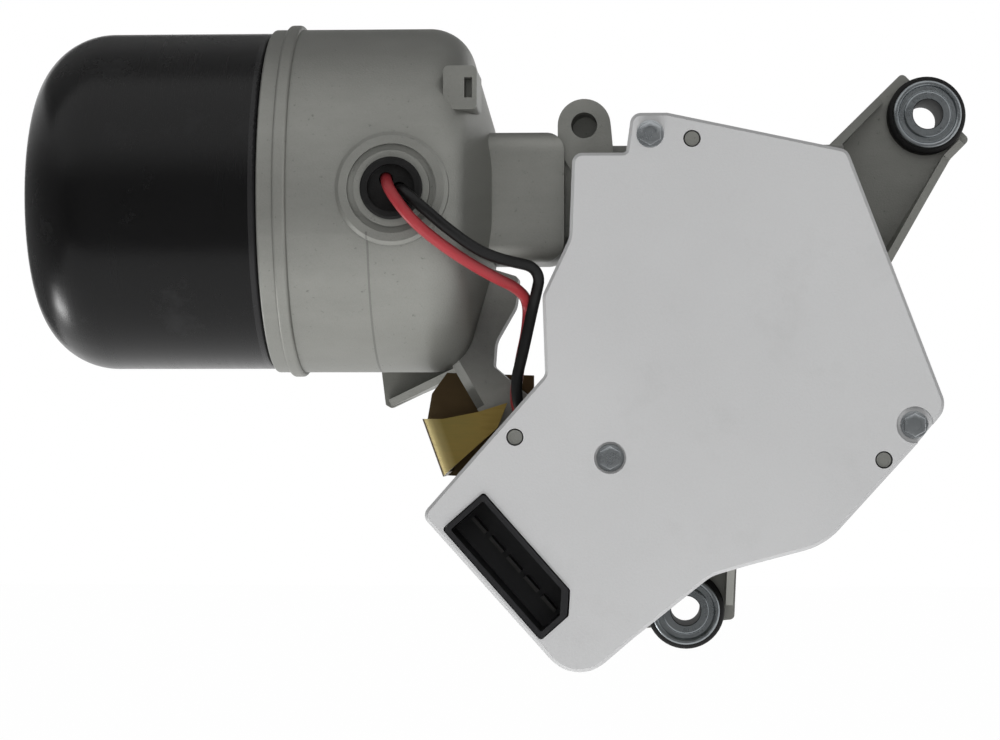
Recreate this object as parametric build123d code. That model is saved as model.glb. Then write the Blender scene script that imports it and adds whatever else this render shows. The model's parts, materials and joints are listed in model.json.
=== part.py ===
from build123d import *
from math import atan2, cos, degrees, hypot, pi, radians, sin, sqrt, tan
import os

# Wiper motor, in millimetres. The origin lies on the output shaft's axis, in the plane of the
# mounting sleeves' back ends. +X runs along the motor from its closed end to the gearbox,
# +Y points into the cowl, +Z is up. The cover faces -Y.

# ---- general fits ----
running_fit = 0.03       # radial, shaft in bearing
seat_fit = 0.02          # radial, bearing or screw in its hole
slip_fit = 0.3           # between loosely fitted parts
air_gap = 0.9            # rotor to magnets

# ---- worm gear pair ----
wheel_teeth = 44
tooth_module = 1.25
worm_pitch_r = 6.0
addendum = 1.0
tip_clearance = 0.3
backlash = 0.32          # along the pitch line, both flanks together
pressure_angle = 20.0
wheel_face = 8.0
worm_turns = 7
wheel_pitch_r = wheel_teeth * tooth_module / 2
tooth_pitch = pi * tooth_module
tooth_thickness = (tooth_pitch - backlash) / 2
wheel_tip_r = wheel_pitch_r + addendum
wheel_root_r = wheel_pitch_r - addendum - tip_clearance
worm_tip_r = worm_pitch_r + addendum
worm_root_r = worm_pitch_r - addendum - tip_clearance

# ---- motor axis, parallel to X ----
motor_y = -56.0
motor_z = wheel_pitch_r + worm_pitch_r

# ---- worm wheel, its hub, and the park contact ring on its face ----
wheel_y0 = motor_y - wheel_face / 2
wheel_y1 = motor_y + wheel_face / 2
wheel_rim_width = 3.2
wheel_rim_r = wheel_root_r - wheel_rim_width
wheel_boss_r = 12.5
wheel_web_t = 3.6
wheel_rib_t = 1.8
wheel_rib_count = 6
hub_r = 9.0
hub_length = 15.2
hub_y0 = motor_y - hub_length / 2
hub_y1 = motor_y + hub_length / 2
disc_t = 0.6
disc_r = wheel_rim_r - 2.5
disc_bore_r = wheel_boss_r + 0.8
park_angle = 215.0       # of the contact ring's notch, from +X
park_notch_depth = 3.4
park_notch_width = 6.4

# ---- drawn steel case ----
case_r = 38.1
case_wall = 1.6
case_tip_x = -158.5
case_crown = 3.0         # how far the end bulges
case_corner_r = 17.0
case_mouth_r = 0.8
case_joggle = 1.7        # step in at the mouth
spigot_r = case_r - case_joggle
spigot_length = 3.4
bearing_cup_wall = 1.6

# ---- casting: motor end head ----
rim_x = -104.0
spigot_x = rim_x + spigot_length
head_step = 0.8          # how far the head stands out past the case
head_r = case_r + head_step
head_wall = 3.6
head_bore_r = head_r - head_wall
bead_x = -99.0
bead_width = 3.0
bead_height = 1.0
head_face_x = -54.5
head_nose_r = 16.0
head_cone = 6.8          # axial depth of the cone round the nose
head_corner_r = 10.0
head_end_wall = 10.5
head_bore_x1 = head_face_x - head_end_wall
neck_half = 14.5
neck_corner_r = 4.5
neck_end_x = -38.4       # rounded end of the neck's outer block
neck_core_inset = 4.0    # the slimmer part that runs on into the gearbox
neck_core_end_x = -34.0

# ---- casting: gearbox ----
box_front_y = -73.0
box_back_y = -48.0
bowl_back_y = -42.0
bowl_floor = 4.0
bowl_clearance = 2.0
channel_r = 9.0
channel_wall = 3.4
channel_end_x = 24.0
thrust_boss_r = channel_r + 0.8
nut_face_r = 9.4         # spot face round the locknut
mouth_x = [-22.0, 13.0]  # the worm channel is open to the cover between these
bowl_r = wheel_tip_r + bowl_clearance
bowl_rim = 4.4           # how far the round back stands out past the bowl
bowl_bevel = 2.5
back_rib_t = 3.0
back_rib_height = 16.0
back_rib_angles = [100, 20, -50, -160]
pocket_floor_y = -52.0
pocket_corners = [(-40.0, -10.8), (-37.0, -12.5), (-33.5, -22.0), (-33.2, -32.5),
                  (-14.5, -38.5), (-14.5, -50.5), (-36.5, -69.2), (-63.6, -38.0)]
finger_passage = [(-35.0, -38.0), (-24.5, -21.5), (-9.0, -26.0), (-18.0, -41.0)]
lightening_depth = 15.0
lightening_r = 1.0
lightening_holes = [
    [(20.0, 31.0), (22.6, 37.5), (28.4, 22.5), (27.5, 20.5)],
    [(6.0, -36.2), (20.0, -32.2), (16.5, -38.8), (6.0, -42.6)]]
ear_place = (-34.0, 49.4)
ear_r = 5.9
ear_hole_r = 2.9
ear_front_y = -68.0
ear_depth = 16.0
ear_foot = [(-5.9, -5.4), (-2.0, -11.4), (6.9, -11.4)]   # (x, z) from the ear's centre
ear_hole_depth = 11.0

# ---- casting: curved web from the end head to the gearbox's lower lobe ----
web_corners = [
    ((-62.0, 20.0), 0.0), ((-49.0, 16.0), 1.0), ((-49.6, 9.4), 5.0), ((-54.2, 1.4), 6.0),
    ((-54.6, -4.2), 1.0), ((-42.0, -15.0), 0.0), ((-50.0, -24.0), 0.0), ((-58.4, -13.8), 12.0),
    ((-64.5, -3.2), 1.5), ((-64.0, 6.0), 0.0)]
web_y0 = -61.0
web_y1 = -50.0
web_bevel = 2.0          # on its left front edge

# ---- casting: locating pad on the end head, with a slot through its right side ----
locating_x = [-9.6, -2.3]        # from the head's end face
locating_z = [17.5, 27.0]        # from the motor axis
locating_depth = [7.2, 24.9]     # behind the head's front
locating_slot = [1.7, 4.4, 5.0]  # width, height, depth

# ---- cover, seen from the front: corners (x, z) and corner radii ----
cover_corners = [
    ((-36.3, 42.2), 2.2), ((-24.6, 42.2), 0.8), ((-23.4, 50.9), 2.4), ((-15.6, 50.9), 2.0),
    ((23.6, 42.6), 2.6), ((33.0, 18.0), 30.0), ((45.0, -13.5), 4.5), ((38.9, -21.0), 8.0),
    ((18.5, -43.5), 16.0), ((3.0, -47.6), 14.0), ((-6.0, -50.2), 8.0), ((-23.0, -63.8), 14.0),
    ((-35.6, -74.6), 8.5), ((-69.4, -37.1), 2.2), ((-42.3, -6.4), 2.0), ((-42.9, 11.0), 4.0),
    ((-37.0, 23.6), 5.0)]
cover_front_y = -80.0
cover_wall = 2.2
cover_bevel = 0.7
cover_overhang = 1.2
gasket_t = 1.0
cover_screw_places = [(-19.3, 46.2), (38.0, -17.3), (-28.1, -24.5)]
cover_recess_depths = [0.0, 1.9, 1.9]
cover_recess_radii = [0.0, 4.0, 3.5]
dowel_places = [(-10.2, 45.2), (-48.9, -20.0), (31.3, -24.9)]
dowel_r = 1.6
dowel_hole_r = 1.9
dowel_boss_wall = 1.4
screw_r = 2.0
screw_boss_r = 4.4
screw_grip = 14.0        # thread length in the casting
hex_flats = 4.6
hex_height = 2.4
hex_flange_r = 3.0
hex_flange_t = 0.6

# ---- connector in the cover's lower lobe ----
plug_centre = (-49.5, -48.2)
plug_angle = -48.4       # long side, from +X
plug_length = 32.0
plug_width = 11.7
plug_wall = 1.1
plug_chamfer = 4.0
plug_front_y = -80.6
plug_floor_y = -65.0
board_front_y = -60.0
board_t = 1.6
board_screw_places = [(-27.5, -57.5), (-48.0, -32.5)]
board_screw_r = 1.5
board_screw_head_r = 2.8
board_screw_head_t = 1.8
board_post_r = 3.2
blade_count = 5
blade_pitch = 5.8
blade_width = 4.4
blade_t = 0.8
blade_tip_y = -72.0
blade_tail_y = -56.5
window_gap = 0.25
finger_roots = [(-32.0, -43.0), (-29.0, -46.2), (-26.0, -49.4)]
finger_track_r = [14.6, 17.2, 19.8]
finger_track_angle = [-140.0, -128.0, -116.0]
finger_t = 0.5
finger_width = 2.0
finger_foot_width = 2.6
finger_foot = (-1.5, 3.5)   # along the finger

# ---- mounting: sleeve centres (x, z), and the way each notch opens, from +X ----
mount_places = [(46.8, 56.7), (-10.9, -61.8), (-79.4, 7.3)]
mount_angles = [45.0, -84.0, 180.0]
sleeve_bore_r = 3.55
sleeve_wall = 0.9
sleeve_length = 19.0
sleeve_flange_r = 8.1
sleeve_flange_t = 1.0
sleeve_dish = 0.8        # how deep the flange lies behind the collar round the bore
sleeve_collar_r = 5.6
sleeve_rim_width = 1.3
sleeve_edge_r = 0.5
grommet_r = 9.3
grommet_groove_r = 6.7
grommet_end_y = -0.8
grommet_edge_r = 1.4
leg_back_y = -8.0
leg_t = 4.6
leg_half_width = 11.4
notch_reach = 3.6        # from the sleeve's centre to the prongs' ends
flange_t = 1.8
flange_height = 2.4      # of the upright flanges beside the notch
upper_leg_radii = [1.2, 2, 2, 4, 6, 1.2]
lower_leg_radii = [1.2, 5, 3, 3, 5, 1.2]
motor_leg_radii = [1.2, 3, 4, 6, 0.6, 0.6, 2, 0.5]
upper_gusset_roots = [(31.5, 14.0), (14.5, 38.0)]
upper_gusset_dip = 1.6       # the right gusset's rise half way along
lower_gusset_roots = [(0.0, -34.0), (-18.0, -34.0)]
motor_gusset = [(-62.0, -3.4), (-82.2, -12.2)]
upper_leg_root = [(12.0, 38.5), (20.0, 8.0), (33.0, 12.0)]
upper_leg_block = [(12.0, 38.0), (22.0, 39.0), (32.0, 13.0), (22.0, 9.0)]
upper_leg_hollow = [(15.5, 35.0), (20.0, 35.6), (27.8, 14.8), (23.4, 13.2)]
lower_leg_root = [(-24.0, -47.0), (-16.0, -30.0), (-2.0, -30.0), (1.6, -46.0)]
lower_leg_block = [(-19.0, -31.0), (-19.0, -38.0), (1.2, -38.0), (1.2, -31.0)]
motor_leg_root = [(-60.5, 18.7), (-58.5, 2.0), (-66.5, -6.0), (-82.0, -13.4), (-83.4, -12.6),
                  (-84.4, -4.6), (-84.0, 0.0)]
motor_leg_block = [(-69.6, 17.0), (-60.8, 17.0), (-59.2, 2.0), (-64.6, -3.6), (-69.6, -5.0)]

# ---- output ----
output_r = 5.0
output_front_y = -66.0
output_end_y = 17.0
output_boss_r = 12.0
output_boss_end_y = -8.0
output_boss_bevel = 1.0
bushing_wall = 2.5
bushing_length = 10.0
crank_y = 3.5
crank_t = 5.0
crank_length = 44.0
crank_angle = -123.0     # at park, from +X
crank_hub_r = 11.0
crank_eye_r = 8.5
ball_r = 6.35
stud_r = 4.0
stud_rivet_width = 1.5
stud_rivet_height = 1.4
stud_collar_width = 2.2
stud_collar_height = 1.6
crank_waist = 0.94         # share of each end's width where the bar meets it
crank_edge_r = 0.8
nut_height = 6.0
nut_flats = 13.0
lock_washer_r = 8.4
lock_washer_t = 1.4
lock_washer_gap = 1.0
seal_wall = 3.6
seal_length = 4.0
seal_groove_depth = 1.8
ring_t = 0.8             # retaining ring on the shaft's front end
ring_width = 2.4
ring_groove_depth = 0.5

# ---- armature ----
shaft_r = 4.0
journal_r = 3.0
core_x0 = -139.0
core_x1 = -109.0
slot_count = 12
slot_width = 3.6
slot_mouth = 1.8
slot_depth = 10.0
slot_lip = 0.8
insulator_t = 0.8
magnet_t = 6.0
clip_t = 0.7
magnet_span = 140.0
core_r = case_r - case_wall - 0.1 - magnet_t - air_gap
winding_overhang = 6.5
winding_inset = 3.0        # end turns below the core's surface
winding_bore = 4.5         # end turns' bore round the shaft
conductor_gap = 0.7
segment_gap = 0.6          # between the commutator's bars
segment_gap_depth = 1.2
riser_height = 2.0
commutator_r = 11.0
commutator_x0 = -99.0
commutator_x1 = -84.0
brush_x = -91.0
brush_size = 5.0
brush_length = 12.0
holder_wall = 0.8
plate_x0 = -83.0
plate_t = 2.5
plate_r = head_bore_r - slip_fit
plate_window_r = [plate_r - 16.0, plate_r - 9.0]
plate_window_width = 14.0
holder_in_r = commutator_r + 1.6
holder_out_r = plate_r - 5.0
holder_foot_width = 10.0
spring_wire = 0.6
spring_r = 1.7
spring_turns = 4
neck_bearing_r = 8.0
neck_bearing_x0 = -50.0
neck_bearing_length = 8.0
end_bearing_r = 5.5
end_bearing_x0 = 16.0
end_bearing_length = 4.5
rear_bearing_r = 6.4
rear_bearing_length = 7.0
rear_bearing_x0 = case_tip_x + case_wall + 2.2
shaft_rear_x = rear_bearing_x0 + 0.6
shaft_end_x = end_bearing_x0 + end_bearing_length
thrust_screw_r = 4.0
thrust_screw_proud = 0.4   # beyond the locknut
thrust_play = 0.15         # between the screw and the shaft's end
locknut_flats = 13.0
locknut_t = 2.2
thrust_slot_width = 1.2
thrust_slot_depth = 1.2

# ---- lead entry on the end head ----
lead_x = head_face_x - 20.1
lead_z = motor_z - 0.2
lead_pad_r = 12.2
lead_pad_proud = 1.1     # in front of the head
lead_pad_y = motor_y - head_r - lead_pad_proud
lead_ring_r = 9.6
lead_ring_width = 1.4
lead_ring_depth = 1.6
lead_hole_r = 5.6
lead_lip_r = 6.7
lead_lip_height = 1.4
lead_hole_gap = 0.25
lead_d = 2.5
lead_terminal_length = 6.0
lead_barrel_wall = 0.3
lead_notch = [(-53.0, -12.6), (-44.4, -21.6), (-39.0, -19.0), (-36.5, -12.0), (-44.0, -5.0)]
lead_notch_depth = 8.4

# Leads from the end head's grommet to the terminal board, held at both ends. Their points over
# the head are set from its end face, its front and the motor axis
red_over_head = [
    (-21.5, 2.9, 2.5), (-21.1, -2.5, 1.3), (-19.7, -5.9, -1.6), (-15.3, -6.9, -7.4),
    (-9.4, -3.7, -12.3), (-3.6, 1.3, -16.1), (1.9, 7.3, -19.1)]
red_to_board = [
    (-48.4, -80.4, 12.6), (-46.2, -72.0, 10.0), (-46.6, -71.4, 3.5), (-48.2, -70.8, -3.4),
    (-49.8, -68.8, -13.4), (-46.1, -66.9, -17.1), (-43.0, -64.2, -20.6), (-41.4, -61.9, -25.6),
    (-40.9, -61.9, -31.2)]
black_over_head = [
    (-18.7, 3.4, -0.3), (-18.4, -1.3, -0.3), (-16.8, -4.5, -1.3), (-13.1, -6.1, -4.6),
    (-7.5, -3.7, -9.4), (-1.7, 1.1, -13.4), (2.8, 6.1, -15.0)]
black_to_board = [
    (-48.2, -84.0, 17.9), (-45.0, -80.8, 17.3), (-43.5, -78.8, 15.0), (-44.2, -77.6, 12.0),
    (-45.1, -76.0, 8.6), (-46.4, -74.8, 2.9), (-47.8, -74.0, -3.2), (-49.0, -73.0, -7.4),
    (-48.6, -71.4, -14.0), (-44.6, -69.6, -17.4), (-40.6, -66.4, -20.4), (-38.2, -61.9, -24.9),
    (-37.4, -61.9, -30.8)]

# ---- folded bracket below the casting's web ----
bracket_t = 1.5
bracket_front_y = -67.0
bracket_back_y = -46.5
bracket_fold_r = 3.6
bracket_front = [(-70.5, -16.0), (-65.6, -16.0), (-58.0, -14.5), (-51.2, -12.4), (-53.4, -18.0),
                 (-65.8, -29.0)]
bracket_back = [(-70.5, -16.0), (-69.5, -10.2), (-66.0, -5.4), (-46.0, -6.0), (-46.0, -30.0),
                (-65.8, -29.0)]
bracket_screw_place = (-54.0, -26.0)

bracket_hole_depth = 3.4

motor_axis = Axis((0, motor_y, motor_z), (1, 0, 0))


def rod_x(radius, x0, x1, y=motor_y, z=motor_z):
    """Cylinder parallel to X."""
    return Pos((x0 + x1) / 2, y, z) * Rot(0, 90, 0) * Cylinder(radius, x1 - x0)


def tube_x(outer, inner, x0, x1, y=motor_y, z=motor_z):
    return rod_x(outer, x0, x1, y, z) - rod_x(inner, x0 - 1, x1 + 1, y, z)


def rod_y(radius, y0, y1, x=0.0, z=0.0):
    """Cylinder parallel to Y."""
    return Pos(x, (y0 + y1) / 2, z) * Rot(90, 0, 0) * Cylinder(radius, y1 - y0)


def tube_y(outer, inner, y0, y1, x=0.0, z=0.0):
    return rod_y(outer, y0, y1, x, z) - rod_y(inner, y0 - 1, y1 + 1, x, z)


def block(x0, x1, y0, y1, z0, z1):
    return Pos((x0 + x1) / 2, (y0 + y1) / 2, (z0 + z1) / 2) * Box(x1 - x0, y1 - y0, z1 - z0)


def turned(profile, radii):
    """Solid turned about the motor axis from (x, r) corners with their fillet radii."""
    points = [(x, motor_y, motor_z + r) for x, r in profile]
    face = make_face(FilletPolyline(*points, radius=radii, close=True))
    return revolve(face, motor_axis, 360)


def front_face(corners, y, radii=0.0):
    """Flat face at the given y from (x, z) corners."""
    points = [(x, y, z) for x, z in corners]
    if not radii:
        return make_face(Polyline(*points, close=True))
    return make_face(FilletPolyline(*points, radius=radii, close=True))


def prism(corners, y0, y1, radii=0.0):
    """(x, z) outline extruded from y0 to y1."""
    return extrude(front_face(corners, y0, radii), amount=y1 - y0, dir=(0, 1, 0))


def hexagon_y(flats, y0, y1, x=0.0, z=0.0):
    corner_r = flats / sqrt(3)
    angles = [radians(60 * i + 30) for i in range(6)]
    return prism([(x + corner_r * cos(a), z + corner_r * sin(a)) for a in angles], y0, y1)


def at_angle(shape, degrees_round, x=0.0, z=0.0):
    """Turn a shape that lies along +X at (0, 0) to a direction in the XZ plane, then move it."""
    return Pos(x, 0, z) * Rot(0, -degrees_round, 0) * shape


def cover_outline(y, inset):
    corners = [c for c, r in cover_corners]
    face = front_face(corners, y, [r for c, r in cover_corners])
    if inset:
        face = offset(face, -inset, kind=Kind.INTERSECTION)
    return face


def slab(face, thickness):
    """Extrude a front face towards +Y."""
    return extrude(face, amount=thickness, dir=(0, 1, 0))


# ---------------- worm gear pair ----------------

def wheel_section(y, turn):
    """Involute tooth outline of the worm wheel at one height, turned about the output axis."""
    base_r = wheel_pitch_r * cos(radians(pressure_angle))

    def involute(r):
        angle = 0.0 if r <= base_r else atan2(sqrt(r * r - base_r * base_r), base_r)
        return tan(angle) - angle

    def half_angle(r):
        return tooth_thickness / 2 / wheel_pitch_r + involute(wheel_pitch_r) - involute(r)

    flank = [wheel_root_r, wheel_pitch_r, wheel_tip_r]
    points = []
    for tooth in range(wheel_teeth):
        centre = 2 * pi * tooth / wheel_teeth + turn
        rising = [(r, centre - half_angle(r)) for r in flank]
        falling = [(r, centre + half_angle(r)) for r in reversed(flank)]
        points += [(r * sin(a), y, r * cos(a)) for r, a in rising + falling]
    return make_face(Polyline(*points, close=True))


def worm_wheel():
    twist = wheel_face / 2 * tooth_pitch / (2 * pi * worm_pitch_r) / wheel_pitch_r
    wheel = loft([wheel_section(wheel_y0, -twist), wheel_section(wheel_y1, twist)], ruled=True)
    recess = (wheel_face - wheel_web_t) / 2
    wheel -= tube_y(wheel_rim_r, wheel_boss_r, wheel_y1 - recess, wheel_y1 + 1)
    wheel += tube_y(wheel_boss_r, hub_r, wheel_y1 - 1, hub_y1 - slip_fit)
    rib = block(wheel_boss_r - 1, wheel_rim_r + 0.5, wheel_y1 - recess, wheel_y1,
                -wheel_rib_t / 2, wheel_rib_t / 2)
    for i in range(wheel_rib_count):
        wheel += Rot(0, 360 * i / wheel_rib_count, 0) * rib
    wheel -= rod_y(hub_r + seat_fit, wheel_y0 - 1, hub_y1 + 1)
    return wheel


def wheel_hub():
    """Steel hub pressed into the wheel, with a flange on its front face."""
    hub = rod_y(hub_r, hub_y0, hub_y1)
    hub += rod_y(wheel_boss_r, hub_y0, wheel_y0)
    hub -= rod_y(output_r + seat_fit, hub_y0 - 1, hub_y1 + 1)
    return hub


def park_contact_disc():
    """Contact ring on the wheel's face, with the notch that stops the motor at park."""
    disc = tube_y(disc_r, disc_bore_r, wheel_y0 - disc_t, wheel_y0)
    notch = block(disc_r - park_notch_depth, disc_r + 1, wheel_y0 - disc_t - 1, wheel_y0 + 1,
                  -park_notch_width / 2, park_notch_width / 2)
    return disc - at_angle(notch, park_angle)


def worm_thread():
    """One trapezoidal thread on the worm, its first groove centred over the output axis."""
    depth = addendum + tip_clearance + 0.5
    slope = tan(radians(pressure_angle))
    half_root = tooth_thickness / 2 + depth * slope
    half_tip = tooth_thickness / 2 - addendum * slope
    r_in = worm_pitch_r - depth
    section = make_face(Polyline((r_in, 0, -half_root), (worm_tip_r, 0, -half_tip),
                                 (worm_tip_r, 0, half_tip), (r_in, 0, half_root), close=True))
    path = Helix(pitch=tooth_pitch, height=worm_turns * tooth_pitch, radius=worm_pitch_r)
    thread = sweep(section, path=path, is_frenet=True)
    return Pos(-worm_turns / 2 * tooth_pitch, motor_y, motor_z) * Rot(0, 90, 0) * thread


def armature_shaft():
    worm_half = worm_turns / 2 * tooth_pitch
    shaft = rod_x(shaft_r, shaft_rear_x, -worm_half)
    shaft += rod_x(worm_root_r, -worm_half - 3, worm_half + 1.0)
    shaft += rod_x(journal_r, worm_half, shaft_end_x)
    shaft += worm_thread()
    return shaft


# ---------------- armature ----------------

def slot_shapes(fill):
    """The armature's slots, or with a fill gap the conductors in them."""
    shapes = []
    for i in range(slot_count):
        body = Pos(0, core_r - slot_lip - slot_depth / 2) * Rectangle(slot_width - fill,
                                                                     slot_depth - fill)
        mouth = Pos(0, core_r - slot_lip / 2) * Rectangle(slot_mouth, 2 * slot_lip)
        shapes.append(Rot(0, 0, 360 * i / slot_count) * (body if fill else body + mouth))
    return shapes


def across_motor(x, section):
    """Place a flat section square to the motor axis."""
    return Pos(x, motor_y, motor_z) * Rot(0, 90, 0) * section


def core_section(x, trim=0.0):
    return across_motor(x, Circle(core_r - trim) - slot_shapes(0) - Circle(shaft_r + seat_fit))


def armature_core():
    return extrude(core_section(core_x0), amount=core_x1 - core_x0, dir=(1, 0, 0))


def core_insulators():
    ends = [extrude(core_section(x, slot_lip), amount=insulator_t, dir=(1, 0, 0))
            for x in (core_x0 - insulator_t, core_x1)]
    return Compound(ends)


def armature_windings():
    """Slot conductors joined by the rounded end turns."""
    over = winding_overhang
    bars = extrude(across_motor(core_x0 - insulator_t - 1, Sketch() + slot_shapes(conductor_gap)),
                   amount=core_x1 - core_x0 + 2 * insulator_t + 2, dir=(1, 0, 0))
    outer = core_r - winding_inset
    inner = shaft_r + winding_bore
    result = bars
    for side, x in ((-1, core_x0 - insulator_t), (1, core_x1 + insulator_t)):
        result += turned([(x, inner), (x, outer), (x + side * over, outer),
                          (x + side * over, inner)], [0, 0, over / 2, 0])
    return result


def commutator():
    body = tube_x(commutator_r, shaft_r + seat_fit, commutator_x0, commutator_x1)
    half = segment_gap / 2
    riser = tube_x(commutator_r + riser_height, shaft_r + 1, commutator_x0 - 1.8, commutator_x0 + 0.2)
    body += riser
    cut = block(commutator_x0 - 3, commutator_x1 + 1, motor_y - half, motor_y + half,
                motor_z + commutator_r - segment_gap_depth,
                motor_z + commutator_r + riser_height + 1)
    for i in range(slot_count):
        body -= cut.rotate(motor_axis, 360 * i / slot_count)
    return body


def field_magnets():
    outer = case_r - case_wall - 0.1
    arcs = []
    for centre in (0, 180):
        section = Circle(outer) - Circle(outer - magnet_t)
        reach = 2 * outer
        half = magnet_span / 2
        wedge_points = [(0, 0)] + [(reach * cos(radians(a)), reach * sin(radians(a)))
                                   for a in (centre - half, centre - half / 2, centre,
                                             centre + half / 2, centre + half)]
        section &= make_face(Polyline(*wedge_points, close=True))
        placed = Pos(core_x0, motor_y, motor_z) * Rot(0, 90, 0) * Rot(0, 0, 90) * section
        arcs.append(extrude(placed, amount=core_x1 - core_x0, dir=(1, 0, 0)))
    return Compound(arcs)


def magnet_clips():
    """Sprung strips that hold the magnets apart, at the top and the bottom of the case."""
    outer = case_r - case_wall - 0.15
    half = (180 - magnet_span) / 2 - 1.6
    clips = []
    for centre in (90, -90):
        lip_r = outer - magnet_t + 1.0
        arc = tube_x(outer, outer - clip_t, core_x0 + 3, core_x1 - 3)
        keep = block(core_x0, core_x1, motor_y - outer * sin(radians(half)),
                     motor_y + outer * sin(radians(half)), motor_z + 1, motor_z + case_r)
        strip = arc & keep
        for side in (-1, 1):
            lip = block(core_x0 + 3, core_x1 - 3, motor_y - clip_t / 2, motor_y + clip_t / 2,
                        motor_z + lip_r, motor_z + outer - clip_t / 2)
            strip += lip.rotate(motor_axis, side * (half - 0.8))
        clips.append(strip if centre > 0 else strip.rotate(motor_axis, 180))
    return Compound(clips)


# ---------------- motor case and brush gear ----------------

def domed_rod(radius, tip_x, end_x, corner_r):
    """Cylinder on the motor axis whose left end is domed, with a rounded corner."""
    dome_r = (radius ** 2 + case_crown ** 2) / (2 * case_crown)
    half_way_x = tip_x + dome_r - sqrt(dome_r ** 2 - radius ** 2 / 4)
    corner, tip = (tip_x + case_crown, motor_y, motor_z + radius), (tip_x, motor_y, motor_z)
    sides = Polyline(tip, (end_x, motor_y, motor_z), (end_x, motor_y, motor_z + radius), corner)
    dome = ThreePointArc(corner, (half_way_x, motor_y, motor_z + radius / 2), tip)
    face = make_face([sides, dome])
    rim = min(face.vertices(), key=lambda v: (Vector(*corner) - Vector(*v)).length)
    return revolve(fillet(rim, corner_r), motor_axis, 360)


def motor_case():
    """Drawn can: a domed end, a joggled mouth and an inner cup for the rear bearing."""
    w = case_wall
    case = domed_rod(case_r, case_tip_x, rim_x - slip_fit, case_corner_r)
    case = fillet(case.edges().sort_by(Axis.X)[-1], case_mouth_r)
    case += rod_x(spigot_r, rim_x - 2 * w, spigot_x - 0.1)
    case -= domed_rod(case_r - w, case_tip_x + w, rim_x - w, case_corner_r - w)
    case -= rod_x(spigot_r - w, rim_x - 2 * w, spigot_x + 1)
    case += tube_x(rear_bearing_r + seat_fit + bearing_cup_wall, rear_bearing_r + seat_fit,
                   case_tip_x + 0.75 * w, rear_bearing_x0 + rear_bearing_length + 0.6)
    return case


def rear_bearing():
    return tube_x(rear_bearing_r, shaft_r + running_fit, rear_bearing_x0,
                  rear_bearing_x0 + rear_bearing_length)


def neck_bearing():
    return tube_x(neck_bearing_r, shaft_r + running_fit, neck_bearing_x0,
                  neck_bearing_x0 + neck_bearing_length)


def end_bearing():
    return tube_x(end_bearing_r, journal_r + running_fit, end_bearing_x0,
                  end_bearing_x0 + end_bearing_length)


def brush_pair(shape_at_top):
    """A shape above the commutator and its twin below it."""
    return [shape_at_top, shape_at_top.rotate(motor_axis, 180)]


def brush_plate():
    plate = tube_x(plate_r, commutator_r + 2.6, plate_x0, plate_x0 + plate_t)
    r0, r1 = plate_window_r
    window = block(plate_x0 - 1, plate_x0 + plate_t + 1, motor_y - plate_window_width / 2,
                   motor_y + plate_window_width / 2, motor_z + r0, motor_z + r1)
    for angle in (90, -90):
        plate -= window.rotate(motor_axis, angle)
    return plate


def brush_box(half, r0, r1):
    return block(brush_x - half, brush_x + half, motor_y - half, motor_y + half,
                 motor_z + r0, motor_z + r1)


def brush_holders():
    half = brush_size / 2 + 0.1
    outer = half + holder_wall
    foot_r0 = holder_in_r + 3
    shell = brush_box(outer, holder_in_r, holder_out_r) - brush_box(half, holder_in_r - 1,
                                                                    holder_out_r - holder_wall)
    foot = block(plate_x0 - holder_wall, plate_x0, motor_y - holder_foot_width / 2,
                 motor_y + holder_foot_width / 2, motor_z + foot_r0, motor_z + holder_out_r)
    web = block(brush_x + outer - 0.1, plate_x0 - holder_wall / 2, motor_y - half, motor_y + half,
                motor_z + foot_r0, motor_z + holder_out_r)
    return Compound(brush_pair(shell + foot + web))


def brushes():
    body = brush_box(brush_size / 2, commutator_r - 0.5, commutator_r + brush_length)
    body -= rod_x(commutator_r + 0.06, brush_x - 5, brush_x + 5)
    return Compound(brush_pair(body))


def brush_springs():
    """Square-wire springs between each brush and its holder's end."""
    start = commutator_r + brush_length + 0.1
    length = holder_out_r - holder_wall - start - 0.1
    wire = spring_wire
    path = Helix(pitch=(length - wire) / spring_turns, height=length - wire, radius=spring_r)
    section = Pos(spring_r, 0, 0) * Rot(90, 0, 0) * Rectangle(wire, wire)
    coil = sweep(section, path=path, is_frenet=True)
    placed = Pos(brush_x, motor_y, motor_z + start + wire / 2) * coil
    return Compound(brush_pair(placed))


# ---------------- casting ----------------

def head_outer():
    cone_x = head_face_x - head_cone
    body = turned([(rim_x, 0), (rim_x, head_r), (cone_x, head_r), (head_face_x, head_nose_r),
                   (head_face_x, 0)], [0, 0.6, head_corner_r, 3.0, 0])
    half = bead_width / 2
    bead = turned([(bead_x - half, head_r - 2), (bead_x - half, head_r + bead_height),
                   (bead_x + half, head_r + bead_height), (bead_x + half, head_r - 2)],
                  [0, 0.8, 0.8, 0])
    return body + bead


def head_bores():
    """The can's seat, the brush gear's space and the bore through to the worm."""
    seat = rod_x(spigot_r + seat_fit, rim_x - 1, spigot_x)
    hollow = turned([(spigot_x - 1, 0), (spigot_x - 1, head_bore_r),
                     (head_bore_x1 - 5, head_bore_r), (head_bore_x1, head_nose_r + 4),
                     (head_bore_x1, 0)], [0, 0, 6, 2, 0])
    throat = rod_x(neck_bearing_r + seat_fit, head_bore_x1 - 1,
                   neck_bearing_x0 + neck_bearing_length)
    return seat + hollow + throat


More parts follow.
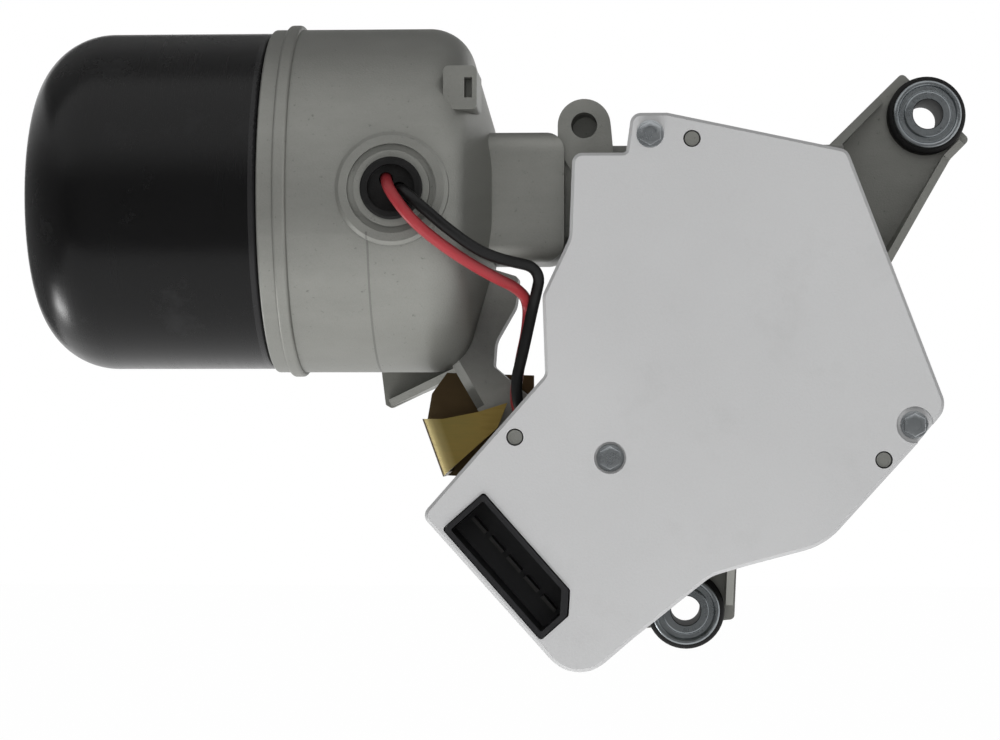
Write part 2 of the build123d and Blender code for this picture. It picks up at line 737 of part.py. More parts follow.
def neck():
    """Square neck: an outer block with a rounded right end, on a slimmer core that runs on."""
    x0 = head_face_x - head_end_wall
    z0, z1 = motor_z - neck_half, motor_z + neck_half
    section = Plane(origin=(x0, motor_y, motor_z), x_dir=(0, 1, 0), z_dir=(1, 0, 0))
    outer = extrude(section * RectangleRounded(2 * neck_half, 2 * neck_half, neck_corner_r),
                    amount=neck_end_x - x0)
    outer &= prism([(x0, z0), (neck_end_x, z0), (neck_end_x, z1), (x0, z1)],
                   motor_y - neck_half, motor_y + neck_half, [0, neck_corner_r, neck_corner_r, 0])
    core_size = 2 * (neck_half - neck_core_inset)
    core = extrude(section * RectangleRounded(core_size, core_size, neck_corner_r / 2),
                   amount=neck_core_end_x - x0)
    return outer + core


def gearbox_body():
    face = cover_outline(box_front_y, cover_overhang)
    body = slab(face, box_back_y - box_front_y)
    bowl = rod_y(bowl_r + bowl_rim, box_back_y - 1, bowl_back_y)
    bowl = chamfer(bowl.edges().sort_by(Axis.Y)[-1], bowl_bevel)
    tunnel = rod_x(channel_r + channel_wall, neck_core_end_x - 2, channel_end_x)
    boss = rod_y(output_boss_r, bowl_back_y - 2, output_boss_end_y)
    boss = chamfer(boss.edges().sort_by(Axis.Y)[-1], output_boss_bevel)
    result = body + bowl + tunnel + boss
    x0, x1 = output_boss_r - 2, bowl_r
    y0, y1 = bowl_back_y - 1, bowl_back_y + back_rib_height
    corners = [(x0, y0), (x1, y0), (x1, y0 + 1), (output_boss_r + 2, y1), (x0, y1)]
    face = make_face(Polyline(*[(x, y, -back_rib_t / 2) for x, y in corners], close=True))
    rib = extrude(face, amount=back_rib_t, dir=(0, 0, 1))
    for angle in back_rib_angles:
        result += at_angle(rib, angle)
    return result


def pocket(y0, y1, inset=0.0):
    face = front_face(pocket_corners, y0)
    if inset:
        face = offset(face, -inset, kind=Kind.INTERSECTION)
    return slab(face, y1 - y0)


def gearbox_cavities():
    bowl = rod_y(bowl_r, box_front_y - 1, bowl_back_y - bowl_floor)
    channel = rod_x(channel_r, neck_bearing_x0 + neck_bearing_length, end_bearing_x0)
    mouth = block(*mouth_x, box_front_y - 1, motor_y, motor_z - channel_r, motor_z + channel_r)
    passage = prism(finger_passage, box_front_y - 1, board_front_y + board_t)
    space = pocket(box_front_y - 1, pocket_floor_y) + plug_seat(box_front_y - 1, board_front_y)
    for corners in lightening_holes:
        space += prism(corners, box_front_y - 1, box_front_y + lightening_depth, lightening_r)
    return bowl + channel + mouth + passage + space


def leg_plate(index, outline, radii):
    """Flat foot with an open-ended notch round its grommet."""
    x, z = mount_places[index]
    plate = prism(outline, leg_back_y - leg_t, leg_back_y, radii)
    notch = prism([(0, -grommet_groove_r), (30, -grommet_groove_r),
                   (30, grommet_groove_r), (0, grommet_groove_r)],
                  leg_back_y - leg_t - 1, leg_back_y + 1)
    notch += rod_y(grommet_groove_r, leg_back_y - leg_t - 1, leg_back_y + 1)
    return plate - at_angle(notch, mount_angles[index], x, z)


def gusset(start, end, y_high, y_low, thickness):
    """Upright web from start to end (x, z): y_high forward at the start, y_low at the end."""
    back = leg_back_y
    run = Vector(end[0] - start[0], 0, end[1] - start[1])
    side = Vector(-run.Z, 0, run.X).normalized() * (thickness / 2)
    s, e = (Vector(p[0], 0, p[1]) - side for p in (start, end))
    points = [Vector(s.X, y_high, s.Z), Vector(s.X, back, s.Z), Vector(e.X, back, e.Z),
              Vector(e.X, y_low, e.Z)]
    return extrude(make_face(Polyline(*points, close=True)), amount=thickness,
                   dir=tuple(side.normalized()))


def along(index, reach, lateral):
    """Point at a sleeve: reach outwards through its notch, lateral to the left of that way."""
    x, z = mount_places[index]
    a = radians(mount_angles[index])
    return (x + reach * cos(a) - lateral * sin(a), z + reach * sin(a) + lateral * cos(a))


def upper_leg():
    tip_l, tip_r = along(0, notch_reach, leg_half_width), along(0, notch_reach, -leg_half_width)
    outline = [tip_l] + upper_leg_root + [along(0, -3.0, -leg_half_width), tip_r]
    leg = leg_plate(0, outline, upper_leg_radii)
    right_root, left_root = upper_gusset_roots
    inset = flange_t / 2
    right_tip = along(0, 1.5, inset - leg_half_width)
    right_mid = along(0, -4.0, inset - leg_half_width)
    high_y, low_y = bowl_back_y - 4, leg_back_y - leg_t - flange_height
    leg += gusset(right_root, right_mid, high_y, low_y - upper_gusset_dip, flange_t)
    leg += gusset(right_mid, right_tip, low_y - upper_gusset_dip, low_y, flange_t)
    leg += gusset(left_root, along(0, -5.0, leg_half_width - inset), high_y, low_y, flange_t)
    leg += prism(upper_leg_block, bowl_back_y - 6, leg_back_y - 0.01, 2.0)
    leg -= prism(upper_leg_hollow, bowl_back_y + 1, leg_back_y + 1, 1.5)
    return leg


def lower_leg():
    tip_l, tip_r = along(1, notch_reach, leg_half_width), along(1, notch_reach, -leg_half_width)
    outline = [tip_r] + lower_leg_root + [tip_l]
    leg = leg_plate(1, outline, lower_leg_radii)
    right_root, left_root = lower_gusset_roots
    inset = flange_t / 2
    high_y, low_y = bowl_back_y - 4, leg_back_y - leg_t - flange_height
    leg += gusset(right_root, along(1, 0.0, leg_half_width - inset), high_y, low_y, flange_t)
    leg += gusset(left_root, along(1, -4.0, inset - leg_half_width), high_y, low_y, flange_t)
    leg += prism(lower_leg_block, bowl_back_y - 6, leg_back_y - 0.01, 1.5)
    return leg


def motor_leg():
    """Foot under the end head; its lower prong runs on into a wedge below the head."""
    outline = [along(2, notch_reach, -leg_half_width)] + motor_leg_root
    leg = leg_plate(2, outline, motor_leg_radii)
    leg += prism(motor_leg_block, motor_y + 20, leg_back_y - 0.01, 2.0)
    leg += gusset(*motor_gusset, motor_y + 22, leg_back_y - leg_t - 1.5, flange_t)
    return leg


def casting_web():
    """Curved web from the end head down to the gearbox's lower lobe, bevelled on its left."""
    web = prism([c for c, r in web_corners], web_y0, web_y1, [r for c, r in web_corners])
    (x0, z0), (x1, z1) = web_corners[-3][0], web_corners[-2][0]
    run = Vector(x1 - x0, 0, z1 - z0)
    side = Plane(origin=(x0, web_y0, z0), x_dir=(0, 1, 0), z_dir=run)
    b = web_bevel
    corner = make_face(Polyline((-1, -b - 1), (b + 1, 1), (-1, 1), close=True))
    return web - extrude(side * corner, amount=run.length)


def ear():
    x, z = ear_place
    end_y = ear_front_y + ear_depth
    body = rod_y(ear_r, ear_front_y, end_y, x, z)
    foot = [(x - ear_r, z)] + [(x + a, z + b) for a, b in ear_foot] + [(x + ear_r, z)]
    body += prism(foot, ear_front_y, end_y)
    return body


def screw_hole(x, z):
    return rod_y(screw_r + seat_fit, box_front_y - 3, box_front_y + screw_grip, x, z)


def thrust_boss():
    return rod_x(thrust_boss_r, end_bearing_x0 - 2, channel_end_x)


def lead_pad():
    pad = rod_y(lead_pad_r, lead_pad_y, motor_y - head_bore_r + 2, lead_x, lead_z)
    pad = chamfer(pad.edges().sort_by(Axis.Y)[0], 0.8)
    groove = tube_y(lead_ring_r, lead_ring_r - lead_ring_width, lead_pad_y - 1,
                    lead_pad_y + lead_ring_depth, lead_x, lead_z)
    return pad - groove


def locating_pad():
    """Pad that blends into the head, with a slot into its right side."""
    x0, x1 = (head_face_x + x for x in locating_x)
    z0, z1 = (motor_z + z for z in locating_z)
    y0, y1 = (motor_y - head_r + y for y in locating_depth)
    width, height, depth = locating_slot
    pad = prism([(x0, z1), (x1, z1), (x1, z0), (x0, z0)], y0, y1, 1.2)
    middle = (z0 + z1) / 2
    return pad - block(x1 - 1.0 - width, x1 - 1.0, y0 - 1, y0 + depth, middle - height / 2,
                       middle + height / 2)


def gear_housing_rough():
    """The whole casting without its dowels, so that its rim can cut the gasket."""
    inside_cover = slab(cover_outline(box_front_y, cover_overhang), box_back_y - box_front_y)
    body = head_outer() + neck() + gearbox_body() + casting_web() + ear() + thrust_boss()
    body += upper_leg() + lower_leg() + motor_leg()
    body += lead_pad() + locating_pad()
    body -= head_bores()
    body -= gearbox_cavities()
    for x, z in cover_screw_places:
        body += rod_y(screw_boss_r, box_front_y, box_back_y, x, z) & inside_cover
        body -= screw_hole(x, z)
    for x, z in dowel_places:
        boss = rod_y(dowel_r + dowel_boss_wall, box_front_y, box_back_y, x, z)
        body += boss & inside_cover
    return body


def gear_housing(rough):
    body = rough
    for x, z in dowel_places:
        body += rod_y(dowel_r, cover_front_y + 0.6, box_front_y + 1, x, z)
    for x, z in board_screw_places:
        body += rod_y(board_post_r, board_front_y + board_t, pocket_floor_y + 1, x, z)
        body -= rod_y(board_screw_r + seat_fit, board_front_y, pocket_floor_y - 1.5, x, z)
    body -= rod_y(output_r + bushing_wall + seat_fit, bowl_back_y - bowl_floor - 1,
                  output_boss_end_y + 1)
    body -= rod_x(end_bearing_r + seat_fit, end_bearing_x0 - 1,
                  end_bearing_x0 + end_bearing_length)
    body -= rod_x(thrust_screw_r + seat_fit, end_bearing_x0, channel_end_x + 1)
    body -= rod_y(lead_hole_r + seat_fit, lead_pad_y - 1, motor_y - head_bore_r / 2, lead_x,
                  lead_z)
    body -= rod_y(ear_hole_r, ear_front_y - 1, ear_front_y + ear_hole_depth, *ear_place)
    body -= prism(lead_notch, box_front_y - 1, box_front_y + lead_notch_depth)
    body -= rod_x(nut_face_r, channel_end_x, channel_end_x + 20)
    x, z = bracket_screw_place
    body -= rod_y(screw_r + seat_fit, box_back_y - bracket_hole_depth, box_back_y + 1, x, z)
    return body


def cover_gasket(rough):
    """Cut to the casting's rim."""
    rim = [f for f in rough.faces().filter_by(Axis.Y) if abs(f.center().Y - box_front_y) < 0.01]
    sheets = [extrude(f, amount=gasket_t, dir=(0, -1, 0)) for f in rim]
    gasket = Part() + sheets - prism(lead_notch, box_front_y - 2, box_front_y + 1)
    for x, z in dowel_places:
        gasket -= rod_y(dowel_hole_r, box_front_y - 2, box_front_y + 1, x, z)
    return gasket


# ---------------- cover and its screws ----------------

def plug_point(u, v):
    """(x, z) of a point u along and v across the connector."""
    a = radians(plug_angle)
    cx, cz = plug_centre
    return (cx + u * cos(a) - v * sin(a), cz + u * sin(a) + v * cos(a))


def plug_outline(y, grow, outwards=0.0):
    """Outline of the connector, one corner cut off as a key."""
    half_l, half_w = plug_length / 2 + grow, plug_width / 2 + grow
    corners = [(-half_l, -half_w - outwards), (half_l, -half_w - outwards),
               (half_l, half_w - plug_chamfer), (half_l - plug_chamfer, half_w),
               (-half_l, half_w)]
    return front_face([plug_point(u, v) for u, v in corners], y, 0.8 if grow > -0.8 else 0.4)


def plug_seat(y0, y1):
    """Space for the connector, open through the casting's outer wall."""
    return slab(plug_outline(y0, window_gap, 8.0), y1 - y0)


def housing_cover():
    edge_y = box_front_y - gasket_t
    cover = slab(cover_outline(cover_front_y, 0), edge_y - cover_front_y)
    rim_edges = [e for e in cover.edges() if abs(e.center().Y - cover_front_y) < 0.01]
    cover = chamfer(rim_edges, cover_bevel)
    inner_face = cover_outline(cover_front_y + cover_wall, cover_wall + 0.8)
    hollow = slab(inner_face, edge_y - cover_front_y)
    for x, z in cover_screw_places + dowel_places:
        hollow -= rod_y(screw_boss_r, cover_front_y, edge_y + 2, x, z)
    cover -= hollow
    for (x, z), depth, radius in zip(cover_screw_places, cover_recess_depths,
                                     cover_recess_radii):
        cover -= rod_y(screw_r + 0.2, cover_front_y - 1, edge_y + 1, x, z)
        if depth:
            cover -= rod_y(radius, cover_front_y - 1, cover_front_y + depth, x, z)
    for x, z in dowel_places:
        cover -= rod_y(dowel_hole_r, cover_front_y - 1, edge_y + 1, x, z)
    window = slab(plug_outline(cover_front_y - 1, window_gap), 12)
    return cover - window


def cover_screws():
    screws = []
    for (x, z), depth in zip(cover_screw_places, cover_recess_depths):
        seat = cover_front_y + depth
        end = box_front_y + screw_grip - 1
        screw = rod_y(hex_flange_r, seat - hex_flange_t, seat, x, z)
        screw += hexagon_y(hex_flats, seat - hex_height, seat, x, z)
        screw += rod_y(screw_r, seat - 0.5, end, x, z)
        screws.append(screw)
    return Compound(screws)


# ---------------- connector and park switch ----------------

def blade_frames():
    for i in range(blade_count):
        yield plug_point((i - (blade_count - 1) / 2) * blade_pitch, 0)


def blade(x, z, y0, y1, grow=0.0):
    w, t = blade_width / 2 + grow, blade_t / 2 + grow
    return at_angle(block(-w, w, y0, y1, -t, t), plug_angle, x, z)


def connector_housing():
    body = slab(plug_outline(plug_front_y, 0), board_front_y - plug_front_y)
    body -= slab(plug_outline(plug_front_y - 1, -plug_wall), plug_floor_y - plug_front_y + 1)
    for x, z in blade_frames():
        body -= blade(x, z, plug_floor_y - 1, board_front_y + 1, seat_fit)
    return body


def connector_terminals():
    return Compound([blade(x, z, blade_tip_y, blade_tail_y) for x, z in blade_frames()])


def terminal_board():
    board = pocket(board_front_y, board_front_y + board_t, slip_fit)
    for x, z in blade_frames():
        board -= blade(x, z, board_front_y - 1, board_front_y + board_t + 1, seat_fit)
    for x, z in board_screw_places:
        board -= rod_y(board_screw_r + 0.1, board_front_y - 1, board_front_y + 4, x, z)
    for x, z in cover_screw_places + dowel_places:
        board -= rod_y(screw_boss_r + slip_fit, board_front_y - 1, board_front_y + 4, x, z)
    return board


def board_screws():
    screws = []
    head_y = board_front_y - board_screw_head_t
    for x, z in board_screw_places:
        screw = rod_y(board_screw_head_r, head_y, board_front_y, x, z)
        screw -= block(x - 3, x + 3, head_y - 1, head_y + board_screw_head_t / 2, z - 0.4, z + 0.4)
        screw += rod_y(board_screw_r, head_y + 0.6 * board_screw_head_t, pocket_floor_y - 2, x, z)
        screws.append(screw)
    return Compound(screws)


def park_switch_contacts():
    """Spring fingers from the terminal board, each over its own track of the contact ring."""
    fingers = []
    front = wheel_y0 - disc_t - slip_fit - finger_t
    half, foot_half = finger_width / 2, finger_foot_width / 2
    for (x, z), track, round_angle in zip(finger_roots, finger_track_r, finger_track_angle):
        a = radians(round_angle)
        dx, dz = track * cos(a) - x, track * sin(a) - z
        strip = block(0, hypot(dx, dz), front, front + finger_t, -half, half)
        foot = block(*finger_foot, front, board_front_y, -foot_half, foot_half)
        fingers.append(at_angle(strip + foot, degrees(atan2(dz, dx)), x, z))
    return Compound(fingers)


# ---------------- leads ----------------

def over_head(points):
    """Points set from the end head's end face, its front and the motor axis."""
    return [(head_face_x + x, motor_y - head_r + y, motor_z + z) for x, y, z in points]


red_route = over_head(red_over_head) + red_to_board
black_route = over_head(black_over_head) + black_to_board


def lead(route, name):
    """Tube on straight runs and tangent arcs; prints its radii and its length."""
    points = [Vector(*p) for p in route]
    runs = [(b - a).length for a, b in zip(points, points[1:])]
    radii = []
    for i in range(1, len(points) - 1):
        turn = (points[i] - points[i - 1]).get_angle(points[i + 1] - points[i])
        radii.append(0.45 * min(runs[i - 1], runs[i]) / tan(radians(turn) / 2))
    path = FilletPolyline(*route, radius=radii)
    start = Plane(origin=points[0], z_dir=points[1] - points[0])
    tube = sweep(start * Circle(lead_d / 2), path=path)
    area = pi * lead_d ** 2 / 4
    print(name, "length", round(path.length, 1), "radii", [round(r, 1) for r in radii],
          "volume ratio", round(tube.volume / (area * path.length), 4))
    return tube


def lead_terminals():
    """Crimped barrels on the leads' ends, each with a tongue flat on the board."""
    parts = []
    reach = lead_terminal_length
    for route in (red_route, black_route):
        (px, _, pz), (x, y, z) = route[-2:]
        barrel = rod_x(lead_d / 2 + lead_barrel_wall, 0, reach, y, 0)
        tongue = block(reach - 1.5, reach + 4, y + 0.6, board_front_y, -1.7, 1.7)
        parts.append(at_angle(barrel + tongue, degrees(atan2(z - pz, x - px)), x, z))
    return Compound(parts)


def lead_grommet():
    """Rubber bush in the end head, holding both leads."""
    wall_in_y = motor_y - sqrt(head_bore_r ** 2 - lead_hole_r ** 2)
    bush = rod_y(lead_hole_r, lead_pad_y, wall_in_y, lead_x, lead_z)
    lip = rod_y(lead_lip_r, lead_pad_y - lead_lip_height, lead_pad_y, lead_x, lead_z)
    bush += chamfer(lip.edges().sort_by(Axis.Y)[0], 0.5)
    bush -= rod_y(lead_lip_r - 1.6, lead_pad_y - 2, lead_pad_y + 0.6, lead_x, lead_z)
    for route in (red_route, black_route):
        start, onwards = Vector(*route[0]), Vector(*route[1])
        hole = Plane(origin=start, z_dir=onwards - start) * Circle(lead_d / 2 + lead_hole_gap)
        bush -= extrude(hole, amount=10)
    return bush


# ---------------- mounting ----------------

def mount_sleeves():
    """Steel sleeves: a dished flange with a rolled rim and a raised collar round the bore."""
    front = -sleeve_length
    dish_y = front + sleeve_dish
    rim_y = front + 0.2
    profile = [(sleeve_bore_r, front), (sleeve_collar_r, front),
               (sleeve_collar_r, dish_y), (sleeve_flange_r - sleeve_rim_width, dish_y),
               (sleeve_flange_r - sleeve_rim_width, rim_y), (sleeve_flange_r, rim_y),
               (sleeve_flange_r, dish_y + sleeve_flange_t),
               (sleeve_bore_r + sleeve_wall, dish_y + sleeve_flange_t),
               (sleeve_bore_r + sleeve_wall, 0), (sleeve_bore_r, 0)]
    r = sleeve_edge_r
    rounds = [0, r, 0.2, 0.2, r, r, r, 0, 0, 0]
    face = make_face(FilletPolyline(*[(x, y, 0) for x, y in profile], radius=rounds, close=True))
    sleeve = revolve(face, Axis.Y, 360)
    return Compound([Pos(x, 0, z) * sleeve for x, z in mount_places])


def mount_grommets():
    grommets = []
    front = -sleeve_length + sleeve_dish + sleeve_flange_t
    for x, z in mount_places:
        rubber = rod_y(grommet_r, front, grommet_end_y, x, z)
        rubber = fillet(rubber.edges().filter_by(GeomType.CIRCLE), grommet_edge_r)
        rubber -= tube_y(grommet_r + 1, grommet_groove_r - seat_fit, leg_back_y - leg_t - seat_fit,
                         leg_back_y + seat_fit, x, z)
        rubber -= rod_y(sleeve_bore_r + sleeve_wall + seat_fit, front - 1, 1, x, z)
        grommets.append(rubber)
    return Compound(grommets)


# ---------------- output shaft and crank ----------------

def output_shaft():
    shaft = rod_y(output_r, output_front_y, output_end_y)
    shaft -= tube_y(output_r + 1, output_r - ring_groove_depth, hub_y0 - ring_t - slip_fit,
                    hub_y0 - 0.1)
    return chamfer(shaft.edges().sort_by(Axis.Y)[-1], 0.8)


def retaining_ring():
    y0, y1 = hub_y0 - ring_t - 0.2, hub_y0 - 0.2
    ring = tube_y(output_r + ring_width, output_r - ring_groove_depth + 0.05, y0, y1)
    return ring - block(0, 10, y0 - 1, y1 + 1, -ring_width / 1.5, ring_width / 1.5)


def output_bushings():
    front = bowl_back_y - bowl_floor
    ends = [(front, front + bushing_length),
            (output_boss_end_y - bushing_length, output_boss_end_y)]
    return Compound([tube_y(output_r + bushing_wall, output_r + running_fit, a, b)
                     for a, b in ends])


def thrust_washer():
    return tube_y(hub_r, output_r + 0.1, hub_y1 + 0.2, bowl_back_y - bowl_floor - 0.2)


def shaft_seal():
    y0 = output_boss_end_y
    y1 = y0 + seal_length
    seal = tube_y(output_r + seal_wall, output_r + 0.05, y0, y1)
    return seal - tube_y(output_r + 0.55 * seal_wall, output_r + 0.33 * seal_wall,
                         y1 - seal_groove_depth, y1 + 1)


def crank_arm():
    """Cranked plate from the output shaft's serrations to the ball stud."""
    hub = rod_y(crank_hub_r, crank_y, crank_y + crank_t)
    eye = rod_y(crank_eye_r, crank_y, crank_y + crank_t, crank_length, 0)
    hub_half, eye_half = crank_waist * crank_hub_r, crank_waist * crank_eye_r
    bar = prism([(0, -hub_half), (crank_length, -eye_half), (crank_length, eye_half),
                 (0, hub_half)], crank_y, crank_y + crank_t)
    arm = hub + eye + bar
    arm = fillet(arm.edges().filter_by(Plane.XZ), crank_edge_r)
    arm -= rod_y(output_r + seat_fit, crank_y - 1, crank_y + crank_t + 1)
    arm -= rod_y(stud_r + seat_fit, crank_y - 1, crank_y + crank_t + 1, crank_length, 0)
    return at_angle(arm, crank_angle)


def lock_washer():
    y0 = crank_y + crank_t
    ring = tube_y(lock_washer_r, output_r + 0.2, y0, y0 + lock_washer_t)
    return ring - block(0, 2 * lock_washer_r, y0 - 1, y0 + 3, -lock_washer_gap / 2,
                        lock_washer_gap / 2)


def crank_nut():
    y0 = crank_y + crank_t + lock_washer_t
    nut = hexagon_y(nut_flats, y0, y0 + nut_height)
    return nut - rod_y(output_r + seat_fit, y0 - 1, y0 + nut_height + 1)


def ball_stud():
    y0 = crank_y + crank_t
    collar_y = y0 + stud_collar_height
    shank = rod_y(stud_r, crank_y - 1.2, y0 + 3, crank_length, 0)
    rivet = rod_y(stud_r + stud_rivet_width, crank_y - stud_rivet_height, crank_y,
                  crank_length, 0)
    collar = rod_y(stud_r + stud_collar_width, y0, collar_y, crank_length, 0)
    ball = Pos(crank_length, collar_y + ball_r * 0.86, 0) * Sphere(ball_r)
    ball -= rod_y(ball_r + 1, collar_y + ball_r * 1.7, y0 + 4 * ball_r, crank_length, 0)
    ball -= rod_y(ball_r + 1, y0 - ball_r, y0 + 1.0, crank_length, 0)
    return at_angle(shank + rivet + collar + ball, crank_angle)


# ---------------- thrust screw ----------------

def thrust_screw():
    x0, x1 = shaft_end_x + thrust_play, channel_end_x + locknut_t + thrust_screw_proud
    half = thrust_slot_width / 2
    screw = rod_x(thrust_screw_r, x0, x1)
    return screw - block(x1 - thrust_slot_depth, x1 + 1, motor_y - 5, motor_y + 5,
                         motor_z - half, motor_z + half)


def thrust_locknut():
    section = Plane(origin=(channel_end_x, motor_y, motor_z), x_dir=(0, 1, 0), z_dir=(1, 0, 0))
    nut = extrude(section * RegularPolygon(locknut_flats / sqrt(3), 6), amount=locknut_t)
    return nut - rod_x(thrust_screw_r + seat_fit, channel_end_x - 1, channel_end_x + 5)


# ---------------- folded bracket ----------------

def guard_bracket():
    """Folded sheet: a front wall, a rounded fold down its left edge and a taller back wall."""
    y0, y1 = bracket_front_y, bracket_back_y
    (ax, az), (bx, bz) = bracket_front[0], bracket_front[-1]
    run = Vector(bx - ax, 0, bz - az)
    start = Plane(origin=Vector(ax, y0, az) - run * 0.2, x_dir=(-run.Z, 0, run.X), z_dir=run)
    depth, t, r = y1 - y0, bracket_t, bracket_fold_r
    fold = make_face(FilletPolyline(
        (0, -depth), (0, 0), (run.length * 2, 0), (run.length * 2, -t), (t, -t), (t, -depth),
        radius=[0, r, 0, 0, r - t, 0], close=True))
    body = extrude(start * fold, amount=run.length * 1.4) & prism(bracket_front, y0, y1)
    body += prism(bracket_back, y1 - t, y1)
    x, z = bracket_screw_place
    return body - rod_y(screw_r + 0.2, y1 - 5, y1 + 2, x, z)


def bracket_screw():
    x, z = bracket_screw_place
    y0 = bracket_back_y
    screw = hexagon_y(hex_flats, y0, y0 + hex_height, x, z) + rod_y(hex_flange_r, y0,
                                                                  y0 + hex_flange_t, x, z)
    return screw + rod_y(screw_r, box_back_y - 3.0, y0 + 0.5, x, z)


def write_parts():
    os.makedirs("parts", exist_ok=True)
    rough = gear_housing_rough()
    nodes = {
        "motor_case": motor_case(), "field_magnets": field_magnets(),
        "magnet_clips": magnet_clips(), "rear_bearing": rear_bearing(),
        "gear_housing": gear_housing(rough), "cover_gasket": cover_gasket(rough),
        "housing_cover": housing_cover(), "cover_screws": cover_screws(),
        "neck_bearing": neck_bearing(), "end_bearing": end_bearing(),
        "brush_plate": brush_plate(), "brush_holders": brush_holders(),
        "brushes": brushes(), "brush_springs": brush_springs(),
        "connector_housing": connector_housing(), "connector_terminals": connector_terminals(),
        "terminal_board": terminal_board(), "board_screws": board_screws(),
        "park_switch_contacts": park_switch_contacts(), "lead_grommet": lead_grommet(),
        "red_lead": lead(red_route, "red_lead"), "black_lead": lead(black_route, "black_lead"),
        "lead_terminals": lead_terminals(), "mount_sleeves": mount_sleeves(),
        "mount_grommets": mount_grommets(), "output_bushings": output_bushings(),
        "shaft_seal": shaft_seal(), "thrust_screw": thrust_screw(),
        "thrust_locknut": thrust_locknut(), "guard_bracket": guard_bracket(),
        "bracket_screw": bracket_screw(), "armature_shaft": armature_shaft(),
        "armature_core": armature_core(), "core_insulators": core_insulators(),
        "armature_windings": armature_windings(), "commutator": commutator(),
        "output_shaft": output_shaft(), "worm_wheel": worm_wheel(), "wheel_hub": wheel_hub(),
        "park_contact_disc": park_contact_disc(), "thrust_washer": thrust_washer(),
        "retaining_ring": retaining_ring(), "crank_arm": crank_arm(),
        "lock_washer": lock_washer(), "crank_nut": crank_nut(), "ball_stud": ball_stud()}
    for name, shape in nodes.items():
        export_step(shape, f"parts/{name}.step")


write_parts()
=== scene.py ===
import bpy
import json
import math
from mathutils import Matrix, Vector


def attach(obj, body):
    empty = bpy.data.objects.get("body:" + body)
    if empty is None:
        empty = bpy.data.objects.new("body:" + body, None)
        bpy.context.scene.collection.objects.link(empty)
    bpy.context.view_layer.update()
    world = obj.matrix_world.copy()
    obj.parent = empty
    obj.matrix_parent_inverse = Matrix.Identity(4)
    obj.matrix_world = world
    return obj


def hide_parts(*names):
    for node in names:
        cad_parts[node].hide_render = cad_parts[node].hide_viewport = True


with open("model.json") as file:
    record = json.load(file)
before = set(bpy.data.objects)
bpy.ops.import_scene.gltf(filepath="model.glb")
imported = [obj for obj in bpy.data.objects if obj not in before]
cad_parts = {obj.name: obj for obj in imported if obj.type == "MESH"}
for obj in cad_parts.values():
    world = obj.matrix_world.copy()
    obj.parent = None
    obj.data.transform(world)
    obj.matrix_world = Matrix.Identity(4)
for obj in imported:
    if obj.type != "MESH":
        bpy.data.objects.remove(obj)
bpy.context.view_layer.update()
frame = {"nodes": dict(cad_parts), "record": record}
nodes = frame["nodes"]
bpy.ops.object.select_all(action="DESELECT")
print("stage: frame loaded,", len(nodes), "nodes")

# camera, placed to match the photo's view
viewpoint = {
    "eye": (-0.0193, -0.7060, -0.0162),
    "target": (-0.0534, -0.0560, -0.0049),
    "lens": 103.25,
    "sensorWidth": 36.0,
    "clipStart": 0.01,
}


def placeCamera():
    camera = bpy.data.cameras.new("viewCamera")
    camera.lens = viewpoint["lens"]
    camera.sensor_width = viewpoint["sensorWidth"]
    camera.sensor_fit = "HORIZONTAL"
    camera.clip_start = viewpoint["clipStart"]
    camera.dof.use_dof = False
    holder = bpy.data.objects.new("viewCamera", camera)
    bpy.context.scene.collection.objects.link(holder)
    eye = Vector(viewpoint["eye"])
    aim = Vector(viewpoint["target"]) - eye
    holder.location = eye
    holder.rotation_euler = aim.to_track_quat("-Z", "Y").to_euler()
    bpy.context.scene.camera = holder


placeCamera()
print("stage: camera")

black, white = (0.0, 0.0, 0.0), (1.0, 1.0, 1.0)
usualIor = 1.5


# 1 where the camera, a mirror or glass looks, 0 for the light that falls on things
def directView(tree):
    path = tree.nodes.new("ShaderNodeLightPath")
    total = path.outputs["Is Camera Ray"]
    for kind in ("Is Glossy Ray", "Is Transmission Ray"):
        most = tree.nodes.new("ShaderNodeMath")
        most.operation = "MAXIMUM"
        tree.links.new(total, most.inputs[0])
        tree.links.new(path.outputs[kind], most.inputs[1])
        total = most.outputs[0]
    return total


# a socket that can be used in sums
class Wire:
    def __init__(self, paint, socket):
        self.paint = paint
        self.socket = socket

    def maths(self, operation, first, second):
        return self.paint.node("ShaderNodeMath", {"operation": operation}, {0: first, 1: second})

    def __add__(self, other):
        return self.maths("ADD", self, other)

    def __radd__(self, other):
        return self.maths("ADD", other, self)

    def __sub__(self, other):
        return self.maths("SUBTRACT", self, other)

    def __mul__(self, other):
        return self.maths("MULTIPLY", self, other)

    def __rmul__(self, other):
        return self.maths("MULTIPLY", other, self)

    def __gt__(self, other):
        return self.maths("GREATER_THAN", self, other)

    def __lt__(self, other):
        return self.maths("LESS_THAN", self, other)

    def size(self):
        return self.maths("ABSOLUTE", self, 0.0)


